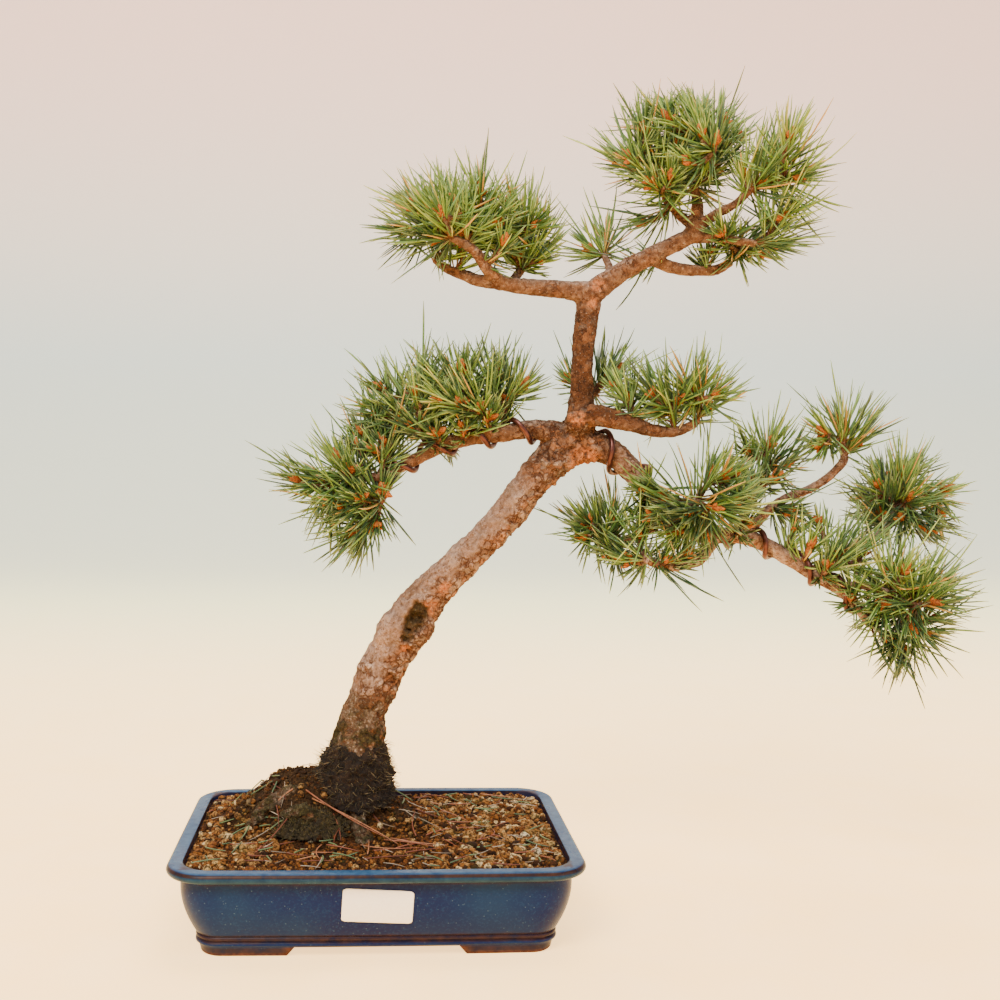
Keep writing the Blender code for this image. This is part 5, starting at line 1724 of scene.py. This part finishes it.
def make_foliage(paths, index, needle, bark, scales):
    chance = random.Random(31)
    stems = []
    for node in LEADING_SHOOTS:
        stems += make_cushion(node, index, needle, chance)
    twigs = mesh_piece("twigs", *join_parts([tube(path, 7) for path, _ in stems]), bark)
    places = from_frame(vertex_places(twigs.data))
    rough = rough_noise(places, 2.2, 3, 8.0)
    set_places(twigs.data, to_frame(places + vertex_normals(twigs.data) * 0.3 * rough[:, None]))
    none = np.zeros(len(places))
    set_attributes(
        twigs.data, plate=np.clip(0.40 + 0.5 * rough, 0, 1), flaky=np.clip(0.5 + 0.5 * rough, 0, 1),
        dark=none + 0.25, crack=none, peach=none, mossy=none, weathered=none, grimy=none
    )
    belongs(twigs, "bark", "trunk_and_branches")

    points, faces, along = [], [], []
    for path, heading in stems:
        tip = Vector(path[-1][:3])
        for k in range(chance.choice((3, 4, 5, 5))):
            lean = 0.0 if k == 0 else 0.75
            way = heading + scatter_vector(chance, lean)
            length = chance.uniform(7, 11) * (1.0 if k == 0 else 0.8)
            start = len(points)
            part, part_faces, part_along = bud(tip, way.normalized(), length, length * 0.25, chance)
            points += part
            along += part_along
            faces += [tuple(start + i for i in face) for face in part_faces]
    buds = mesh_piece("winter_buds", points, faces, scales)
    set_attributes(buds.data, along=along)
    belongs(buds, "bark", "trunk_and_branches")


# ---------------------------------------------------------------------- the studio
CAMERA_YAW = math.radians(-2.82)
CAMERA_PITCH = math.radians(-2.26)
CAMERA_ROLL = math.radians(-0.5)
CAMERA_PLACE = (-7.0, -748.0, 286.5)
LENS = 43.56
SENSOR = 36.0
LENS_SHIFT = 0.0725
NEAREST_SEEN = 0.05  # metres

# Metres from here on.
SWEEP_HEIGHT = 4.5
SWEEP_CURVE = 0.9
SWEEP_HALF = 7.0
LIT_PLACE = (0.0, 0.0, 0.25)
# Each light's name, place, size, power in watts and colour.
LIGHTS = (
    ("key", (-0.9, -1.5, 1.9), 1.1, 82.0, (1.0, 0.94, 0.86)),
    ("fill", (1.6, -1.1, 0.9), 1.8, 16.0, (0.97, 0.97, 1.0)),
    ("top", (0.2, 0.3, 2.4), 1.6, 48.0, (1.0, 0.97, 0.92)),
)
ROOM_COLOUR = (0.95, 0.96, 1.0, 1.0)
ROOM_STRENGTH = 0.62


def make_camera():
    data = bpy.data.cameras.new("photo_camera")
    data.lens = LENS
    data.sensor_width = SENSOR
    data.shift_x = LENS_SHIFT
    data.clip_start = NEAREST_SEEN
    camera = bpy.data.objects.new("photo_camera", data)
    turn = Matrix.Rotation(CAMERA_YAW, 4, "Z") @ Matrix.Rotation(CAMERA_PITCH, 4, "X")
    turn = turn @ Matrix.Rotation(CAMERA_ROLL, 4, "Y") @ Matrix.Rotation(math.pi / 2, 4, "X")
    camera.matrix_world = Matrix.Translation(Vector(to_frame([CAMERA_PLACE])[0])) @ turn
    bpy.context.scene.collection.objects.link(camera)
    bpy.context.scene.camera = camera


def make_floor(finish):
    """A pale paper sweep: floor, curve and wall."""
    radius = SWEEP_CURVE
    start = SWEEP_DEPTH - radius
    section = [(-SWEEP_HALF, 0.0), (start, 0.0)]
    section += [
        (start + radius * math.sin(a), radius - radius * math.cos(a))
        for a in (math.pi / 2 * k / 24 for k in range(1, 25))
    ]
    section.append((SWEEP_DEPTH, SWEEP_HEIGHT))
    mesh = bpy.data.meshes.new("studio_sweep")
    points = [(x, y, z) for x in (-SWEEP_HALF, SWEEP_HALF) for y, z in section]
    count = len(section)
    mesh.from_pydata(points, [], [(i, count + i, count + i + 1, i + 1) for i in range(count - 1)])
    sweep = link_mesh("studio_sweep", mesh, finish)


def make_light(name, place, size, power, colour):
    data = bpy.data.lights.new(name, "AREA")
    data.shape = "DISK"
    data.size = size
    data.energy = power
    data.color = colour
    light = bpy.data.objects.new(name, data)
    light.location = place
    aim = Vector(LIT_PLACE) - Vector(place)
    light.rotation_euler = aim.to_track_quat("-Z", "Y").to_euler()
    bpy.context.scene.collection.objects.link(light)


def make_studio():
    make_floor(floor_finish())
    world = bpy.data.worlds.new("soft_room")
    world.use_nodes = True
    background = world.node_tree.nodes["Background"]
    background.inputs["Color"].default_value = ROOM_COLOUR
    background.inputs["Strength"].default_value = ROOM_STRENGTH
    bpy.context.scene.world = world
    for name, place, size, power, colour in LIGHTS:
        make_light(name, place, size, power, colour)


# ---------------------------------------------------------------------- the build
def build():
    make_camera()
    make_studio()
    make_pot(glaze())
    make_label(label_finish())
    make_bed(bed_finish())
    make_grains(grain_finish())

    bark = bark_finish()
    paths = limb_paths()
    index = path_index(paths)
    make_tree(paths, index, bark)
    make_wire(wire_finish())

    dark_hair = strand_finish("moss_hairs", (0.0, (0.006, 0.003, 0.001)), (0.6, (0.032, 0.018, 0.006)),
                              (0.9, (0.13, 0.10, 0.035)), (1.0, (0.34, 0.26, 0.14)))
    green_hair = strand_finish("green_moss_hairs", (0.0, (0.018, 0.013, 0.003)), (0.6, (0.070, 0.052, 0.010)),
                               (1.0, (0.17, 0.13, 0.04)))
    dark_moss = moss_finish("dark_moss", (0.004, 0.002, 0.001), (0.024, 0.010, 0.003), (0.130, 0.070, 0.020))
    green_moss = moss_finish("green_moss", (0.012, 0.006, 0.002), (0.055, 0.034, 0.008), (0.17, 0.115, 0.030))
    make_moss(
        "moss_collar", "moss_sleeve", "dark_moss", dark_moss, dark_hair,
        hairs=3400, swell=collar_swell, rough=2.5, seed=5
    )
    make_moss(
        "moss_patch", "moss_mat", "green_moss", green_moss, green_hair,
        hairs=700, swell=mat_swell, rough=2.0, seed=6
    )
    dead = strand_finish("dead_needles", (0.0, (0.09, 0.018, 0.006)), (0.6, (0.24, 0.060, 0.022)),
                         (1.0, (0.42, 0.170, 0.070)), roughness=0.6)
    green = strand_finish("cut_needles", (0.0, (0.05, 0.085, 0.035)), (1.0, (0.14, 0.20, 0.07)),
                          roughness=0.5)
    pale = strand_finish("root_hairs", (0.0, (0.16, 0.11, 0.07)), (1.0, (0.46, 0.38, 0.28)))
    scatter_litter(dead, green, pale)

    make_foliage(paths, index, needle_finish(), bark, bud_finish())

    for node, finish in (("drain_screen", plastic_finish()), ("screen_clip", clip_finish())):
        for side in ("left", "right"):
            for material_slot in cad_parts[f"{node}_{side}"].material_slots:
                material_slot.material = finish


build()
